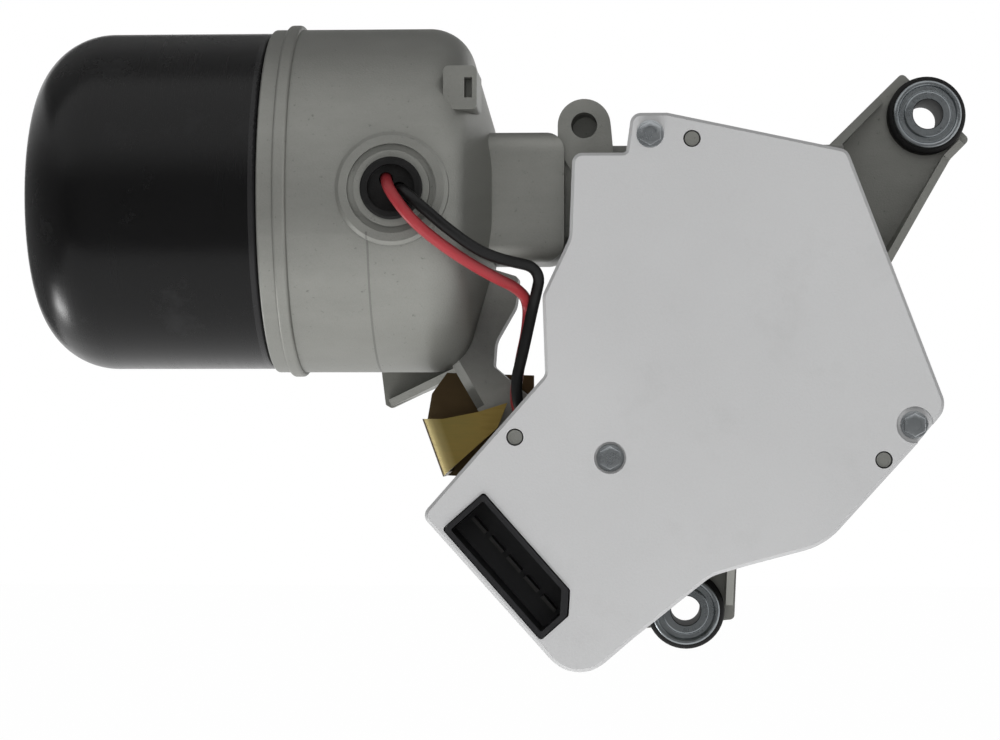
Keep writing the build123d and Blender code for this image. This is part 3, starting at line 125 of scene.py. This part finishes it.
class Paint:
    def __init__(self, name, fixed):
        self.material = bpy.data.materials.new(name)
        self.material.use_nodes = True
        self.tree = self.material.node_tree
        self.shader = self.tree.nodes["Principled BSDF"]
        for socket, value in fixed.items():
            self.shader.inputs[socket].default_value = value

    def node(self, kind, settings=None, values=None, output=0):
        made = self.tree.nodes.new(kind)
        for key, value in (settings or {}).items():
            if key == "stops":
                ramp = made.color_ramp
                while len(ramp.elements) < len(value):
                    ramp.elements.new(0.5)
                for element, (place, colour) in zip(ramp.elements, value):
                    element.position = place
                    element.color = (*colour, 1.0)
            else:
                setattr(made, key, value)
        for key, value in (values or {}).items():
            if isinstance(value, Wire):
                self.tree.links.new(value.socket, made.inputs[key])
            else:
                made.inputs[key].default_value = value
        return Wire(self, made.outputs[output])

    def place(self):
        return self.node("ShaderNodeTexCoord", output="Object")

    def stretched(self, scale, turn=(0, 0, 0)):
        return self.node("ShaderNodeMapping", None,
                         {"Vector": self.place(), "Scale": scale, "Rotation": turn})

    def noise(self, scale, detail=3.0, roughness=0.5, where=None):
        return self.node("ShaderNodeTexNoise", None,
                         {"Vector": where or self.place(), "Scale": scale, "Detail": detail,
                          "Roughness": roughness})

    def bands(self, axis, pitch):
        # one light and one dark line in each pitch, in metres
        return self.node("ShaderNodeTexWave", {"bands_direction": axis},
                         {"Vector": self.place(), "Scale": 2 * math.pi / 20 / pitch})

    def along(self, axis):
        return self.node("ShaderNodeSeparateXYZ", None, {0: self.place()}, output=axis)

    def ramp(self, factor, stops):
        return self.node("ShaderNodeValToRGB", {"stops": stops}, {0: factor})

    # from 0 at the first value to 1 at the last
    def rise(self, factor, span):
        return self.ramp(factor, list(zip(span, (black, white))))

    def fall(self, factor, span):
        return self.ramp(factor, list(zip(span, (white, black))))

    def blend(self, factor, first, second):
        made = self.tree.nodes.new("ShaderNodeMix")
        made.data_type = "RGBA"
        for socket, value in ((made.inputs[0], factor), (made.inputs[6], first),
                              (made.inputs[7], second)):
            if isinstance(value, Wire):
                self.tree.links.new(value.socket, socket)
            else:
                socket.default_value = (*value, 1.0)
        return Wire(self, made.outputs[2])

    # mixes two whole shaders into what the surface shows
    def surface(self, factor, second):
        body = Wire(self, self.shader.outputs[0])
        mixed = self.node("ShaderNodeMixShader", None, {0: factor, 1: body, 2: second})
        self.tree.links.new(mixed.socket, self.tree.nodes["Material Output"].inputs[0])
        return self.material

    def feed(self, socket, wire):
        self.tree.links.new(wire.socket, self.shader.inputs[socket])

    def bump(self, height, depth):
        self.feed("Normal", self.node("ShaderNodeBump", None,
                                      {"Height": height, "Distance": depth, "Strength": 1.0}))
        return self.material


# noises are (scale, detail, roughness); spans are where spots start and are full

# metals: two shades clouded together, fine grain, and turned or drawn lines where the tool
# left them
metalBase = {"cloud": (4.0, 0.55), "grain": (2.0, 0.6), "cloudRough": 0.6, "grainRough": 0.4,
             "boreRough": 0.35, "grainRelief": 0.35, "lineRelief": 0.65}


def metalFinish(name, look):
    paint = Paint(name, {"Metallic": look["metallic"], "IOR": usualIor})
    cloud = paint.noise(look["cloud"], *metalBase["cloud"])
    grain = paint.noise(look["grain"], *metalBase["grain"])
    shade = paint.blend(cloud, look["dark"], look["light"])
    shade = paint.blend(grain * look["fleck"], shade, look["spot"])
    low, high = look["roughness"]
    mottle = metalBase["cloudRough"] * cloud + metalBase["grainRough"] * grain
    rough = low + (high - low) * mottle
    # painted shade: within each listed bore's radius the colour turns dark
    for x, z in look.get("bores", []):
        across, up = paint.along(0) - x, paint.along(2) - z
        shadedInside = across * across + up * up < look["boreR"] ** 2
        shade = paint.blend(shadedInside, shade, look["boreShadow"])
        rough = rough + metalBase["boreRough"] * shadedInside
    paint.feed("Base Color", shade)
    paint.feed("Roughness", rough)
    height = grain
    if "lines" in look:
        lines = paint.bands(*look["lines"])
        height = metalBase["grainRelief"] * grain + metalBase["lineRelief"] * lines
    return paint.bump(height, look["relief"])


# mouldings and rubber: even colour with faint flow clouds, a dusting and a fine skin
mouldedBase = {"cloud": (3.0, 0.5), "skin": (3.0, 0.6), "dust": (5.0, 0.7), "dustFiner": 6,
               "dustSpan": (0.52, 0.78), "dustRough": 0.12}


def mouldedFinish(name, look):
    paint = Paint(name, {"Metallic": 0.0, "IOR": usualIor, "Specular IOR Level": look["gloss"]})
    cloud = paint.noise(look["cloud"], *mouldedBase["cloud"])
    skin = paint.noise(look["grain"], *mouldedBase["skin"])
    dust = paint.rise(paint.noise(look["cloud"] * mouldedBase["dustFiner"], *mouldedBase["dust"]),
                      mouldedBase["dustSpan"])
    shade = paint.blend(cloud, look["dark"], look["light"])
    paint.feed("Base Color", paint.blend(dust * look["dusty"], shade, look["dustShade"]))
    low, high = look["roughness"]
    paint.feed("Roughness", low + (high - low) * cloud + mouldedBase["dustRough"] * dust)
    return paint.bump(skin, look["relief"])


# drawn steel case, black enamel
caseLook = {"dark": (0.0014, 0.0014, 0.0015), "light": (0.0034, 0.0034, 0.0036), "gloss": 0.25,
            "cloud": (26.0, 4.0, 0.55), "cloudRough": 0.07,
            "peel": (1500.0, 2.0, 0.5), "peelRelief": 0.5,
            "drawn": (1.0, 3.0, 0.6), "drawnScale": (1100.0, 22.0, 22.0),
            "drawnRough": 0.06, "drawnRelief": 0.5,
            "scuff": (70.0, 6.0, 0.72), "scuffSpan": (0.60, 0.74), "scuffShare": 0.35,
            "scuffed": (0.019, 0.019, 0.020), "scuffRough": 0.12,
            "rimX": -0.1058, "rimShare": 0.5, "rimTone": (0.030, 0.030, 0.031),
            "roughness": 0.20, "relief": 0.00002}


def enamelFinish():
    look = caseLook
    paint = Paint("caseEnamel", {"IOR": usualIor, "Specular IOR Level": look["gloss"]})
    cloud = paint.noise(*look["cloud"])
    peel = paint.noise(*look["peel"])
    drawn = paint.noise(*look["drawn"], paint.stretched(look["drawnScale"]))
    scuff = paint.rise(paint.noise(*look["scuff"]), look["scuffSpan"])
    # the enamel is lighter from the rim's X onward, towards the end head
    rim = paint.along(0) > look["rimX"]
    shade = paint.blend(cloud, look["dark"], look["light"])
    shade = paint.blend(look["scuffShare"] * scuff, shade, look["scuffed"])
    paint.feed("Base Color", paint.blend(look["rimShare"] * rim, shade, look["rimTone"]))
    rough = look["roughness"] + look["cloudRough"] * cloud + look["drawnRough"] * drawn
    paint.feed("Roughness", rough + look["scuffRough"] * scuff)
    return paint.bump(look["peelRelief"] * peel + look["drawnRelief"] * drawn, look["relief"])


# pressure die casting; the seam is the dies' parting line on the end head's front, and the web
# shadow is painted shade on the web below the end head, blended to the same dark as the pits
castLook = {"dark": (0.156, 0.158, 0.144), "light": (0.296, 0.298, 0.275), "metallic": 0.60,
            "sootAndShadow": (0.070, 0.070, 0.066), "bright": (0.42, 0.42, 0.40),
            "cloud": (34.0, 5.0, 0.62), "cloudShare": 0.55, "cloudRough": 0.14,
            "cloudRelief": 0.25,
            "flow": (1.0, 4.0, 0.6), "flowScale": (60.0, 60.0, 210.0),
            "flowTurn": (0.0, 0.35, 0.0), "flowShare": 0.45,
            "grain": (2300.0, 3.0, 0.65), "grainShare": 0.22, "grainRough": 0.10,
            "grainRelief": 0.55,
            "pits": (900.0, 4.0, 0.7), "pitSpan": (0.64, 0.72), "pitShare": 0.45,
            "pitRelief": 0.3,
            "seamX": -0.0800, "seamWidth": 0.00022, "seamFrontY": -0.058, "seamTopZ": 0.024,
            "seamShare": 0.40, "seamRelief": 0.6,
            "webShadow": (-0.0575, -0.0480, 0.0030), "webShadowR": 0.021, "webShadowCloud": 0.5,
            "webShadowSpan": (0.55, 1.0), "webShadowShare": 0.95,
            "roughness": 0.34, "relief": 0.00012}


def castFinish():
    look = castLook
    paint = Paint("castAlloy", {"Metallic": look["metallic"], "IOR": usualIor})
    cloud = paint.noise(*look["cloud"])
    flow = paint.noise(*look["flow"], paint.stretched(look["flowScale"], look["flowTurn"]))
    grain = paint.noise(*look["grain"])
    pits = paint.rise(paint.noise(*look["pits"]), look["pitSpan"])
    mottle = look["cloudShare"] * cloud + look["flowShare"] * flow
    shade = paint.blend(mottle, look["dark"], look["light"])
    shade = paint.blend(look["grainShare"] * grain, shade, look["bright"])
    shade = paint.blend(look["pitShare"] * pits, shade, look["sootAndShadow"])
    off = (paint.along(0) - look["seamX"]).size()
    ends = (paint.along(1) < look["seamFrontY"]) * (paint.along(2) < look["seamTopZ"])
    seam = (off < look["seamWidth"]) * ends
    # painted shadow: the web below the end head is darkened round the given point
    out = [paint.along(axis) - at for axis, at in enumerate(look["webShadow"])]
    far = (out[0] * out[0] + out[1] * out[1] + out[2] * out[2]) * (1 / look["webShadowR"] ** 2)
    webShadow = paint.fall(far + look["webShadowCloud"] * cloud, look["webShadowSpan"])
    shade = paint.blend(look["webShadowShare"] * webShadow, shade, look["sootAndShadow"])
    paint.feed("Base Color", paint.blend(look["seamShare"] * seam, shade, look["sootAndShadow"]))
    rough = look["roughness"] + look["cloudRough"] * cloud + look["grainRough"] * grain
    paint.feed("Roughness", rough)
    raised = look["grainRelief"] * grain + look["cloudRelief"] * cloud + look["seamRelief"] * seam
    return paint.bump(raised - look["pitRelief"] * pits, look["relief"])


# pale moulded cover
coverLook = {"dark": (0.405, 0.407, 0.409), "light": (0.503, 0.505, 0.507), "ior": 1.46,
             "cloud": (16.0, 4.0, 0.55), "cloudRough": 0.12, "cloudRelief": 0.3,
             "speck": (1700.0, 3.0, 0.65), "speckShare": 0.16, "speckShade": (0.70, 0.70, 0.71),
             "speckRough": 0.08, "speckRelief": 0.7,
             "grime": (48.0, 6.0, 0.70), "grimeSpan": (0.56, 0.80), "grimeShare": 0.22,
             "grimeShade": (0.300, 0.300, 0.295),
             "roughness": 0.46, "relief": 0.00006}


def coverFinish():
    look = coverLook
    paint = Paint("coverPlastic", {"IOR": look["ior"]})
    cloud = paint.noise(*look["cloud"])
    speck = paint.noise(*look["speck"])
    grime = paint.rise(paint.noise(*look["grime"]), look["grimeSpan"])
    shade = paint.blend(cloud, look["dark"], look["light"])
    shade = paint.blend(look["speckShare"] * speck, shade, look["speckShade"])
    paint.feed("Base Color", paint.blend(look["grimeShare"] * grime, shade, look["grimeShade"]))
    rough = look["roughness"] + look["cloudRough"] * cloud + look["speckRough"] * speck
    paint.feed("Roughness", rough)
    return paint.bump(look["speckRelief"] * speck + look["cloudRelief"] * cloud, look["relief"])


# yellow chromate on zinc: the film drifts in tint; on the bracket a painted highlight makes it
# palest round the fold, and painted shade makes its inner faces brown
chromateLook = {"film": [(0.30, (0.28, 0.19, 0.055)), (0.46, (0.42, 0.30, 0.090)),
                         (0.60, (0.35, 0.28, 0.090)), (0.74, (0.40, 0.24, 0.110))],
                "drift": (42.0, 4.0, 0.55), "driftShare": 0.8, "driftRough": 0.12,
                "rolled": (1.0, 3.0, 0.6), "rolledScale": (90.0, 90.0, 1500.0),
                "rolledTurn": (0.0, 0.7, 0.0), "rolledShare": 0.2, "rolledRough": 0.08,
                "bendHighlight": (0.90, 0.76, 0.38), "bendFrom": (-0.0705, -0.0160),
                "across": (0.942, 0.335), "bendHighlightSpan": (0.05, 0.42), "bendHighlightShare": 0.85,
                "shadedInside": (0.12, 0.08, 0.045), "shadedInsideY": (-0.0652, -0.0470),
                "shadedInsideShare": 0.94, "roughness": 0.26, "relief": 0.00003}


def chromateFinish():
    look = chromateLook
    paint = Paint("yellowChromate", {"Metallic": 1.0})
    drift = paint.noise(*look["drift"])
    rolled = paint.noise(*look["rolled"],
                         paint.stretched(look["rolledScale"], look["rolledTurn"]))
    # painted highlight: the bracket pales towards the light bend colour near its rounded fold
    x0, z0 = look["bendFrom"]
    ux, uz = look["across"]
    across = ux * (paint.along(0) - x0) + uz * (paint.along(2) - z0)
    # across in centimetres, so that the span fits a ramp
    bendHighlight = paint.fall(across * 100.0, look["bendHighlightSpan"])
    # painted shade: what lies between the two Y limits, the bracket's inner faces, turns brown
    front, back = look["shadedInsideY"]
    shadedInside = (paint.along(1) > front) * (paint.along(1) < back)
    tint = look["driftShare"] * drift + look["rolledShare"] * rolled
    shade = paint.ramp(tint, look["film"])
    shade = paint.blend(bendHighlight * look["bendHighlightShare"], shade, look["bendHighlight"])
    paint.feed("Base Color", paint.blend(shadedInside * look["shadedInsideShare"], shade, look["shadedInside"]))
    rough = look["roughness"] + look["driftRough"] * drift + look["rolledRough"] * rolled
    paint.feed("Roughness", rough)
    return paint.bump(rolled, look["relief"])


# platings and bare metals: "fleck" is the share of "spot" that the grain brings
zincLook = {"dark": (0.26, 0.285, 0.30), "light": (0.52, 0.545, 0.56),
            "spot": (0.70, 0.72, 0.74), "metallic": 1.0, "cloud": 190.0, "grain": 1600.0,
            "fleck": 0.25, "roughness": (0.20, 0.38), "relief": 0.00004}
# the sleeves' bores carry painted shade, darker within their radius
sleeveLook = dict(zincLook, dark=(0.13, 0.150, 0.160), light=(0.36, 0.385, 0.40),
                  bores=[(0.0468, 0.0567), (-0.0109, -0.0618), (-0.0794, 0.0073)],
                  boreR=0.0037, boreShadow=(0.035, 0.037, 0.038))
dullTinLook = {"dark": (0.030, 0.030, 0.031), "light": (0.075, 0.074, 0.072),
               "spot": (0.16, 0.15, 0.14), "metallic": 1.0, "cloud": 260.0, "grain": 1500.0,
               "fleck": 0.2, "roughness": (0.34, 0.50), "relief": 0.00003}
groundLook = {"dark": (0.34, 0.34, 0.35), "light": (0.52, 0.52, 0.53), "spot": (0.18, 0.17, 0.16),
              "metallic": 1.0, "cloud": 120.0, "grain": 2200.0, "fleck": 0.2,
              "roughness": (0.18, 0.36), "relief": 0.00002}
laminationLook = {"dark": (0.090, 0.085, 0.082), "light": (0.17, 0.165, 0.16),
                  "spot": (0.05, 0.03, 0.02), "metallic": 0.8, "cloud": 90.0, "grain": 1400.0,
                  "fleck": 0.3, "roughness": (0.38, 0.6), "relief": 0.00006,
                  "lines": ("X", 0.0005)}
copperLook = {"dark": (0.33, 0.10, 0.035), "light": (0.58, 0.22, 0.09), "spot": (0.16, 0.05, 0.02),
              "metallic": 0.9, "cloud": 110.0, "grain": 900.0, "fleck": 0.25,
              "roughness": (0.22, 0.4), "relief": 0.0001, "lines": ("DIAGONAL", 0.0008)}
commutatorLook = {"dark": (0.42, 0.18, 0.09), "light": (0.62, 0.30, 0.17),
                  "spot": (0.10, 0.06, 0.05), "metallic": 1.0, "cloud": 130.0, "grain": 1500.0,
                  "fleck": 0.3, "roughness": (0.2, 0.38), "relief": 0.00003,
                  "lines": ("X", 0.0004)}
brassLook = {"dark": (0.42, 0.30, 0.11), "light": (0.60, 0.45, 0.19), "spot": (0.22, 0.14, 0.06),
             "metallic": 1.0, "cloud": 140.0, "grain": 1500.0, "fleck": 0.22,
             "roughness": (0.24, 0.42), "relief": 0.00003}
bronzeLook = {"dark": (0.20, 0.125, 0.06), "light": (0.33, 0.21, 0.11), "spot": (0.06, 0.04, 0.03),
              "metallic": 0.9, "cloud": 160.0, "grain": 2600.0, "fleck": 0.5,
              "roughness": (0.4, 0.6), "relief": 0.00006}
magnetLook = {"dark": (0.045, 0.045, 0.048), "light": (0.085, 0.085, 0.09),
              "spot": (0.02, 0.02, 0.02), "metallic": 0.2, "cloud": 100.0, "grain": 1800.0,
              "fleck": 0.4, "roughness": (0.5, 0.7), "relief": 0.00006}

# mouldings, rubber and sheet: "dusty" is the share of "dustShade"
plugLook = {"gloss": 0.30, "dark": (0.010, 0.010, 0.011), "light": (0.019, 0.019, 0.020),
            "cloud": 45.0, "grain": 1500.0, "dusty": 0.14, "dustShade": (0.07, 0.07, 0.07),
            "roughness": (0.34, 0.5), "relief": 0.00004}
rubberLook = {"gloss": 0.22, "dark": (0.005, 0.005, 0.005), "light": (0.012, 0.012, 0.012),
              "cloud": 80.0, "grain": 1300.0, "dusty": 0.28, "dustShade": (0.045, 0.043, 0.041),
              "roughness": (0.55, 0.75), "relief": 0.00009}
gasketLook = {"gloss": 0.30, "dark": (0.030, 0.030, 0.031), "light": (0.058, 0.057, 0.055),
              "cloud": 120.0, "grain": 1900.0, "dusty": 0.2, "dustShade": (0.12, 0.12, 0.11),
              "roughness": (0.7, 0.85), "relief": 0.0001}
carbonLook = {"gloss": 0.40, "dark": (0.025, 0.022, 0.020), "light": (0.060, 0.050, 0.042),
              "cloud": 150.0, "grain": 2600.0, "dusty": 0.3, "dustShade": (0.20, 0.09, 0.05),
              "roughness": (0.5, 0.66), "relief": 0.00006}
acetalLook = {"gloss": 0.50, "dark": (0.62, 0.58, 0.48), "light": (0.76, 0.73, 0.64),
              "cloud": 60.0, "grain": 900.0, "dusty": 0.45, "dustShade": (0.44, 0.33, 0.14),
              "roughness": (0.24, 0.42), "relief": 0.00005}
boardLook = {"gloss": 0.45, "dark": (0.17, 0.085, 0.035), "light": (0.27, 0.145, 0.065),
             "cloud": 90.0, "grain": 1500.0, "dusty": 0.25, "dustShade": (0.35, 0.24, 0.15),
             "roughness": (0.36, 0.54), "relief": 0.00006}
redLook = {"gloss": 0.30, "dark": (0.25, 0.024, 0.030), "light": (0.36, 0.040, 0.047),
           "cloud": 150.0, "grain": 1600.0, "dusty": 0.10, "dustShade": (0.40, 0.08, 0.08),
           "roughness": (0.28, 0.42), "relief": 0.00002}
blackLook = {"gloss": 0.22, "dark": (0.004, 0.004, 0.004), "light": (0.009, 0.009, 0.009),
             "cloud": 150.0, "grain": 1600.0, "dusty": 0.10, "dustShade": (0.03, 0.03, 0.03),
             "roughness": (0.30, 0.44), "relief": 0.00002}

finishes = {
    "case_black": enamelFinish(), "cast_alloy": castFinish(), "cover_plastic": coverFinish(),
    "yellow_zinc": chromateFinish(), "zinc_steel": metalFinish("zincPlate", zincLook),
    "bare_steel": metalFinish("groundSteel", groundLook),
    "laminations": metalFinish("laminations", laminationLook),
    "copper": metalFinish("windingCopper", copperLook), "brass": metalFinish("brass", brassLook),
    "bronze": metalFinish("sinteredBronze", bronzeLook),
    "magnet": metalFinish("ferrite", magnetLook),
    "black_plastic": mouldedFinish("plugPlastic", plugLook),
    "black_rubber": mouldedFinish("bushRubber", rubberLook),
    "gasket": mouldedFinish("gasketSheet", gasketLook),
    "carbon": mouldedFinish("brushCarbon", carbonLook),
    "gear_plastic": mouldedFinish("greasedAcetal", acetalLook),
    "insulation": mouldedFinish("phenolicBoard", boardLook),
    "red_pvc": mouldedFinish("redInsulation", redLook),
    "black_pvc": mouldedFinish("blackInsulation", blackLook),
}
ownFinish = {"commutator": metalFinish("commutatorBars", commutatorLook),
             "mount_sleeves": metalFinish("sleeveZinc", sleeveLook),
             "connector_terminals": metalFinish("dullTin", dullTinLook)}


def dressNodes():
    for entry in frame["record"]["subparts"]:
        name = entry["node"]
        material = ownFinish.get(name, finishes[entry["material_slot"]])
        data = nodes[name].data
        if not data.materials:
            data.materials.append(material)
        for i in range(len(data.materials)):
            data.materials[i] = material


dressNodes()
print("stage: finishes")

# cover screws: flanged hex heads with bevelled edges and a shallow dish
screwLook = {"seats": [(-0.0193, -0.0800, 0.0462), (0.0380, -0.0781, -0.0173),
                       (-0.0281, -0.0781, -0.0245)],
             "flangeR": 0.0030, "flangeT": 0.0006, "flats": 0.0046, "height": 0.0024,
             "dishR": 0.0014, "dishDeep": 0.0005, "shankR": 0.0020, "shankLength": 0.0180,
             "edge": 0.00020, "edgeSteps": 2, "rimAngle": 70.0, "hexAngle": 50.0,
             "smooth": 35.0, "roundCorners": 48, "shankCorners": 32, "clearOf": 0.001}


# round bar or hexagon along Y, from its front end to its back end
def barAlongY(x, front, back, z, radius, corners):
    bpy.ops.object.select_all(action="DESELECT")
    bpy.ops.mesh.primitive_cylinder_add(vertices=corners, radius=radius, depth=back - front,
                                        location=(x, (front + back) / 2, z),
                                        rotation=(math.pi / 2, 0, 0))
    return bpy.context.object


def bevelRims(sharp):
    bpy.ops.object.mode_set(mode="EDIT")
    bpy.ops.mesh.select_mode(type="EDGE")
    bpy.ops.mesh.select_all(action="DESELECT")
    bpy.ops.mesh.edges_select_sharp(sharpness=math.radians(sharp))
    bpy.ops.mesh.bevel(offset=screwLook["edge"], segments=screwLook["edgeSteps"],
                       affect="EDGES")
    bpy.ops.object.mode_set(mode="OBJECT")


def cutAway(made, tool):
    bpy.ops.object.select_all(action="DESELECT")
    bpy.context.view_layer.objects.active = made
    made.select_set(True)
    bpy.ops.object.modifier_add(type="BOOLEAN")
    made.modifiers[-1].operation = "DIFFERENCE"
    made.modifiers[-1].object = tool
    bpy.ops.object.modifier_apply(modifier=made.modifiers[-1].name)
    bpy.data.objects.remove(tool)


# joins the parts into one piece whose origin is the frame's
def joinParts(parts, name):
    bpy.ops.object.select_all(action="DESELECT")
    for part in parts:
        part.select_set(True)
    bpy.context.view_layer.objects.active = parts[0]
    bpy.ops.object.join()
    bpy.ops.object.transform_apply(location=True, rotation=True, scale=True)
    bpy.ops.object.shade_smooth_by_angle(angle=math.radians(screwLook["smooth"]))
    made = bpy.context.object
    made.name = name
    return made


def makeScrew(seat):
    x, y, z = seat
    roundCorners = screwLook["roundCorners"]
    top = y - screwLook["height"]
    middle = y - screwLook["flangeT"] / 2
    flange = barAlongY(x, y - screwLook["flangeT"], y, z, screwLook["flangeR"], roundCorners)
    bevelRims(screwLook["rimAngle"])
    head = barAlongY(x, top, middle, z, screwLook["flats"] / math.sqrt(3), 6)
    bevelRims(screwLook["hexAngle"])
    cutAway(head, barAlongY(x, top - screwLook["clearOf"], top + screwLook["dishDeep"], z,
                            screwLook["dishR"], roundCorners))
    shank = barAlongY(x, middle, y + screwLook["shankLength"], z, screwLook["shankR"],
                      screwLook["shankCorners"])
    return joinParts([flange, head, shank], "coverScrew")


def makeCoverScrews():
    first = makeScrew(screwLook["seats"][0])
    screws = [first]
    for seat in screwLook["seats"][1:]:
        twin = bpy.data.objects.new("coverScrew", first.data.copy())
        twin.data.transform(Matrix.Translation(Vector(seat) - Vector(screwLook["seats"][0])))
        bpy.context.scene.collection.objects.link(twin)
        screws.append(twin)
    made = joinParts(screws, "coverScrewSet")
    made.data.materials.append(finishes["zinc_steel"])
    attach(made, "root")
    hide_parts("cover_screws")


makeCoverScrews()
print("stage: cover screws")

# leads: the same route points as the solids, in metres
leadLook = {"diameter": 0.0025, "sides": 6, "steps": 12, "order": 3}
redRoute = [
    (-0.0760, -0.0920, 0.0360), (-0.0756, -0.0974, 0.0348), (-0.0742, -0.1008, 0.0319),
    (-0.0698, -0.1018, 0.0261), (-0.0639, -0.0986, 0.0212), (-0.0581, -0.0936, 0.0174),
    (-0.0526, -0.0876, 0.0144), (-0.0484, -0.0804, 0.0126), (-0.0462, -0.0720, 0.0100),
    (-0.0466, -0.0714, 0.0035), (-0.0482, -0.0708, -0.0034), (-0.0498, -0.0688, -0.0134),
    (-0.0461, -0.0669, -0.0171), (-0.0430, -0.0642, -0.0206), (-0.0414, -0.0619, -0.0256),
    (-0.0409, -0.0619, -0.0312)]
blackRoute = [
    (-0.0732, -0.0915, 0.0332), (-0.0729, -0.0962, 0.0332), (-0.0713, -0.0994, 0.0322),
    (-0.0676, -0.1010, 0.0289), (-0.0620, -0.0986, 0.0241), (-0.0562, -0.0938, 0.0201),
    (-0.0517, -0.0888, 0.0185), (-0.0482, -0.0840, 0.0179), (-0.0450, -0.0808, 0.0173),
    (-0.0435, -0.0788, 0.0150), (-0.0442, -0.0776, 0.0120), (-0.0451, -0.0760, 0.0086),
    (-0.0464, -0.0748, 0.0029), (-0.0478, -0.0740, -0.0032), (-0.0490, -0.0730, -0.0074),
    (-0.0486, -0.0714, -0.0140), (-0.0446, -0.0696, -0.0174), (-0.0406, -0.0664, -0.0204),
    (-0.0382, -0.0619, -0.0249), (-0.0374, -0.0619, -0.0308)]


def makeLead(name, node, slot, route):
    curve = bpy.data.curves.new(name, "CURVE")
    curve.dimensions = "3D"
    curve.bevel_depth = leadLook["diameter"] / 2
    curve.bevel_resolution = leadLook["sides"]
    curve.resolution_u = leadLook["steps"]
    curve.use_fill_caps = True
    spline = curve.splines.new("NURBS")
    spline.points.add(len(route) - 1)
    for point, place in zip(spline.points, route):
        point.co = (*place, 1.0)
    spline.order_u = leadLook["order"]
    spline.use_endpoint_u = True
    made = bpy.data.objects.new(name, curve)
    bpy.context.scene.collection.objects.link(made)
    curve.materials.append(finishes[slot])
    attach(made, "root")
    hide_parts(node)


makeLead("redLeadWire", "red_lead", "red_pvc", redRoute)
makeLead("blackLeadWire", "black_lead", "black_pvc", blackRoute)
print("stage: leads")

# floor, cards and light
studio = {"ambient": 0.30, "floorZ": -0.750, "floorSize": 24.0, "floorDark": (0.82, 0.82, 0.82),
          "floorLight": (0.86, 0.86, 0.86), "floorGrain": 3.0, "paperRough": 0.9,
          "floorGlow": 0.99}
# dark cards out of view: what bright metal and enamel mirror towards the camera and from
# above; each fades out to its top edge
cardShade = (0.45, 0.45, 0.45, 1.0)
cards = [
    {"name": "frontCard", "place": (-0.05, -0.80, 0.00), "size": (1.60, 1.06),
     "turn": (90, 0, 0), "fade": 0.34},
    {"name": "leftCard", "place": (-0.86, 0.25, 0.00), "size": (2.20, 0.96),
     "turn": (90, 0, 90), "fade": 0.30},
    {"name": "topCard", "place": (-0.05, 0.85, 0.70), "size": (2.40, 1.90),
     "turn": (0, 0, 0), "fade": 0.10},
]
# lamps aim at the camera's target
lamps = [
    {"name": "lowLamp", "place": (-0.10, -0.44, -0.62), "size": 0.60, "power": 5.0,
     "mirrored": False},
    {"name": "frontLamp", "place": (0.00, -0.76, 0.05), "size": 0.50, "power": 2.1,
     "mirrored": False},
    {"name": "leftLamp", "place": (-0.74, 0.15, -0.50), "size": 0.16, "power": 1.3,
     "mirrored": True},
    {"name": "backLamp", "place": (0.10, 0.80, 0.25), "size": 0.50, "power": 2.4,
     "mirrored": False},
]


def makeFloor():
    bpy.ops.mesh.primitive_plane_add(size=studio["floorSize"], location=(0, 0, studio["floorZ"]))
    floor = bpy.context.object
    floor.name = "studioFloor"
    paint = Paint("floorPaper", {"Roughness": studio["paperRough"]})
    paint.feed("Base Color", paint.blend(paint.noise(studio["floorGrain"]),
                                         studio["floorDark"], studio["floorLight"]))
    glow = paint.node("ShaderNodeEmission", None, {"Strength": 1.0})
    seen = studio["floorGlow"] * Wire(paint, directView(paint.tree))
    floor.data.materials.append(paint.surface(seen, glow))


def makeCards():
    for card in cards:
        bpy.ops.object.select_all(action="DESELECT")
        bpy.ops.mesh.primitive_plane_add(size=1.0, location=card["place"],
                                         rotation=[math.radians(a) for a in card["turn"]])
        made = bpy.context.object
        made.name = card["name"]
        made.scale = (*card["size"], 1.0)
        made.visible_camera = False
        bpy.ops.object.transform_apply(location=False, rotation=False, scale=True)
        paint = Paint(card["name"] + "Cloth",
                      {"Base Color": cardShade, "Roughness": studio["paperRough"],
                       "Specular IOR Level": 0.0})
        fadeStart = card["size"][1] / 2 - card["fade"]
        clear = paint.rise((paint.along(1) - fadeStart) * (1 / card["fade"]), (0.0, 1.0))
        gauze = paint.node("ShaderNodeBsdfTransparent")
        made.data.materials.append(paint.surface(clear, gauze))


def makeWorld():
    world = bpy.data.worlds.new("studioWorld")
    world.use_nodes = True
    tree = world.node_tree
    back = tree.nodes["Background"]
    level = tree.nodes.new("ShaderNodeMapRange")
    level.inputs["To Min"].default_value = studio["ambient"]
    level.inputs["To Max"].default_value = 1.0
    tree.links.new(directView(tree), level.inputs["Value"])
    tree.links.new(level.outputs[0], back.inputs["Strength"])
    back.inputs["Color"].default_value = (*white, 1.0)
    bpy.context.scene.world = world


def makeLamps():
    for lamp in lamps:
        light = bpy.data.lights.new(lamp["name"], "AREA")
        light.size = lamp["size"]
        light.energy = lamp["power"]
        holder = bpy.data.objects.new(lamp["name"], light)
        bpy.context.scene.collection.objects.link(holder)
        holder.location = lamp["place"]
        holder.visible_glossy = lamp["mirrored"]
        aim = Vector(viewpoint["target"]) - Vector(lamp["place"])
        holder.rotation_euler = aim.to_track_quat("-Z", "Y").to_euler()


makeFloor()
makeCards()
makeWorld()
makeLamps()
bpy.context.scene.view_settings.view_transform = "Standard"
print("stage: floor, world and lamps")
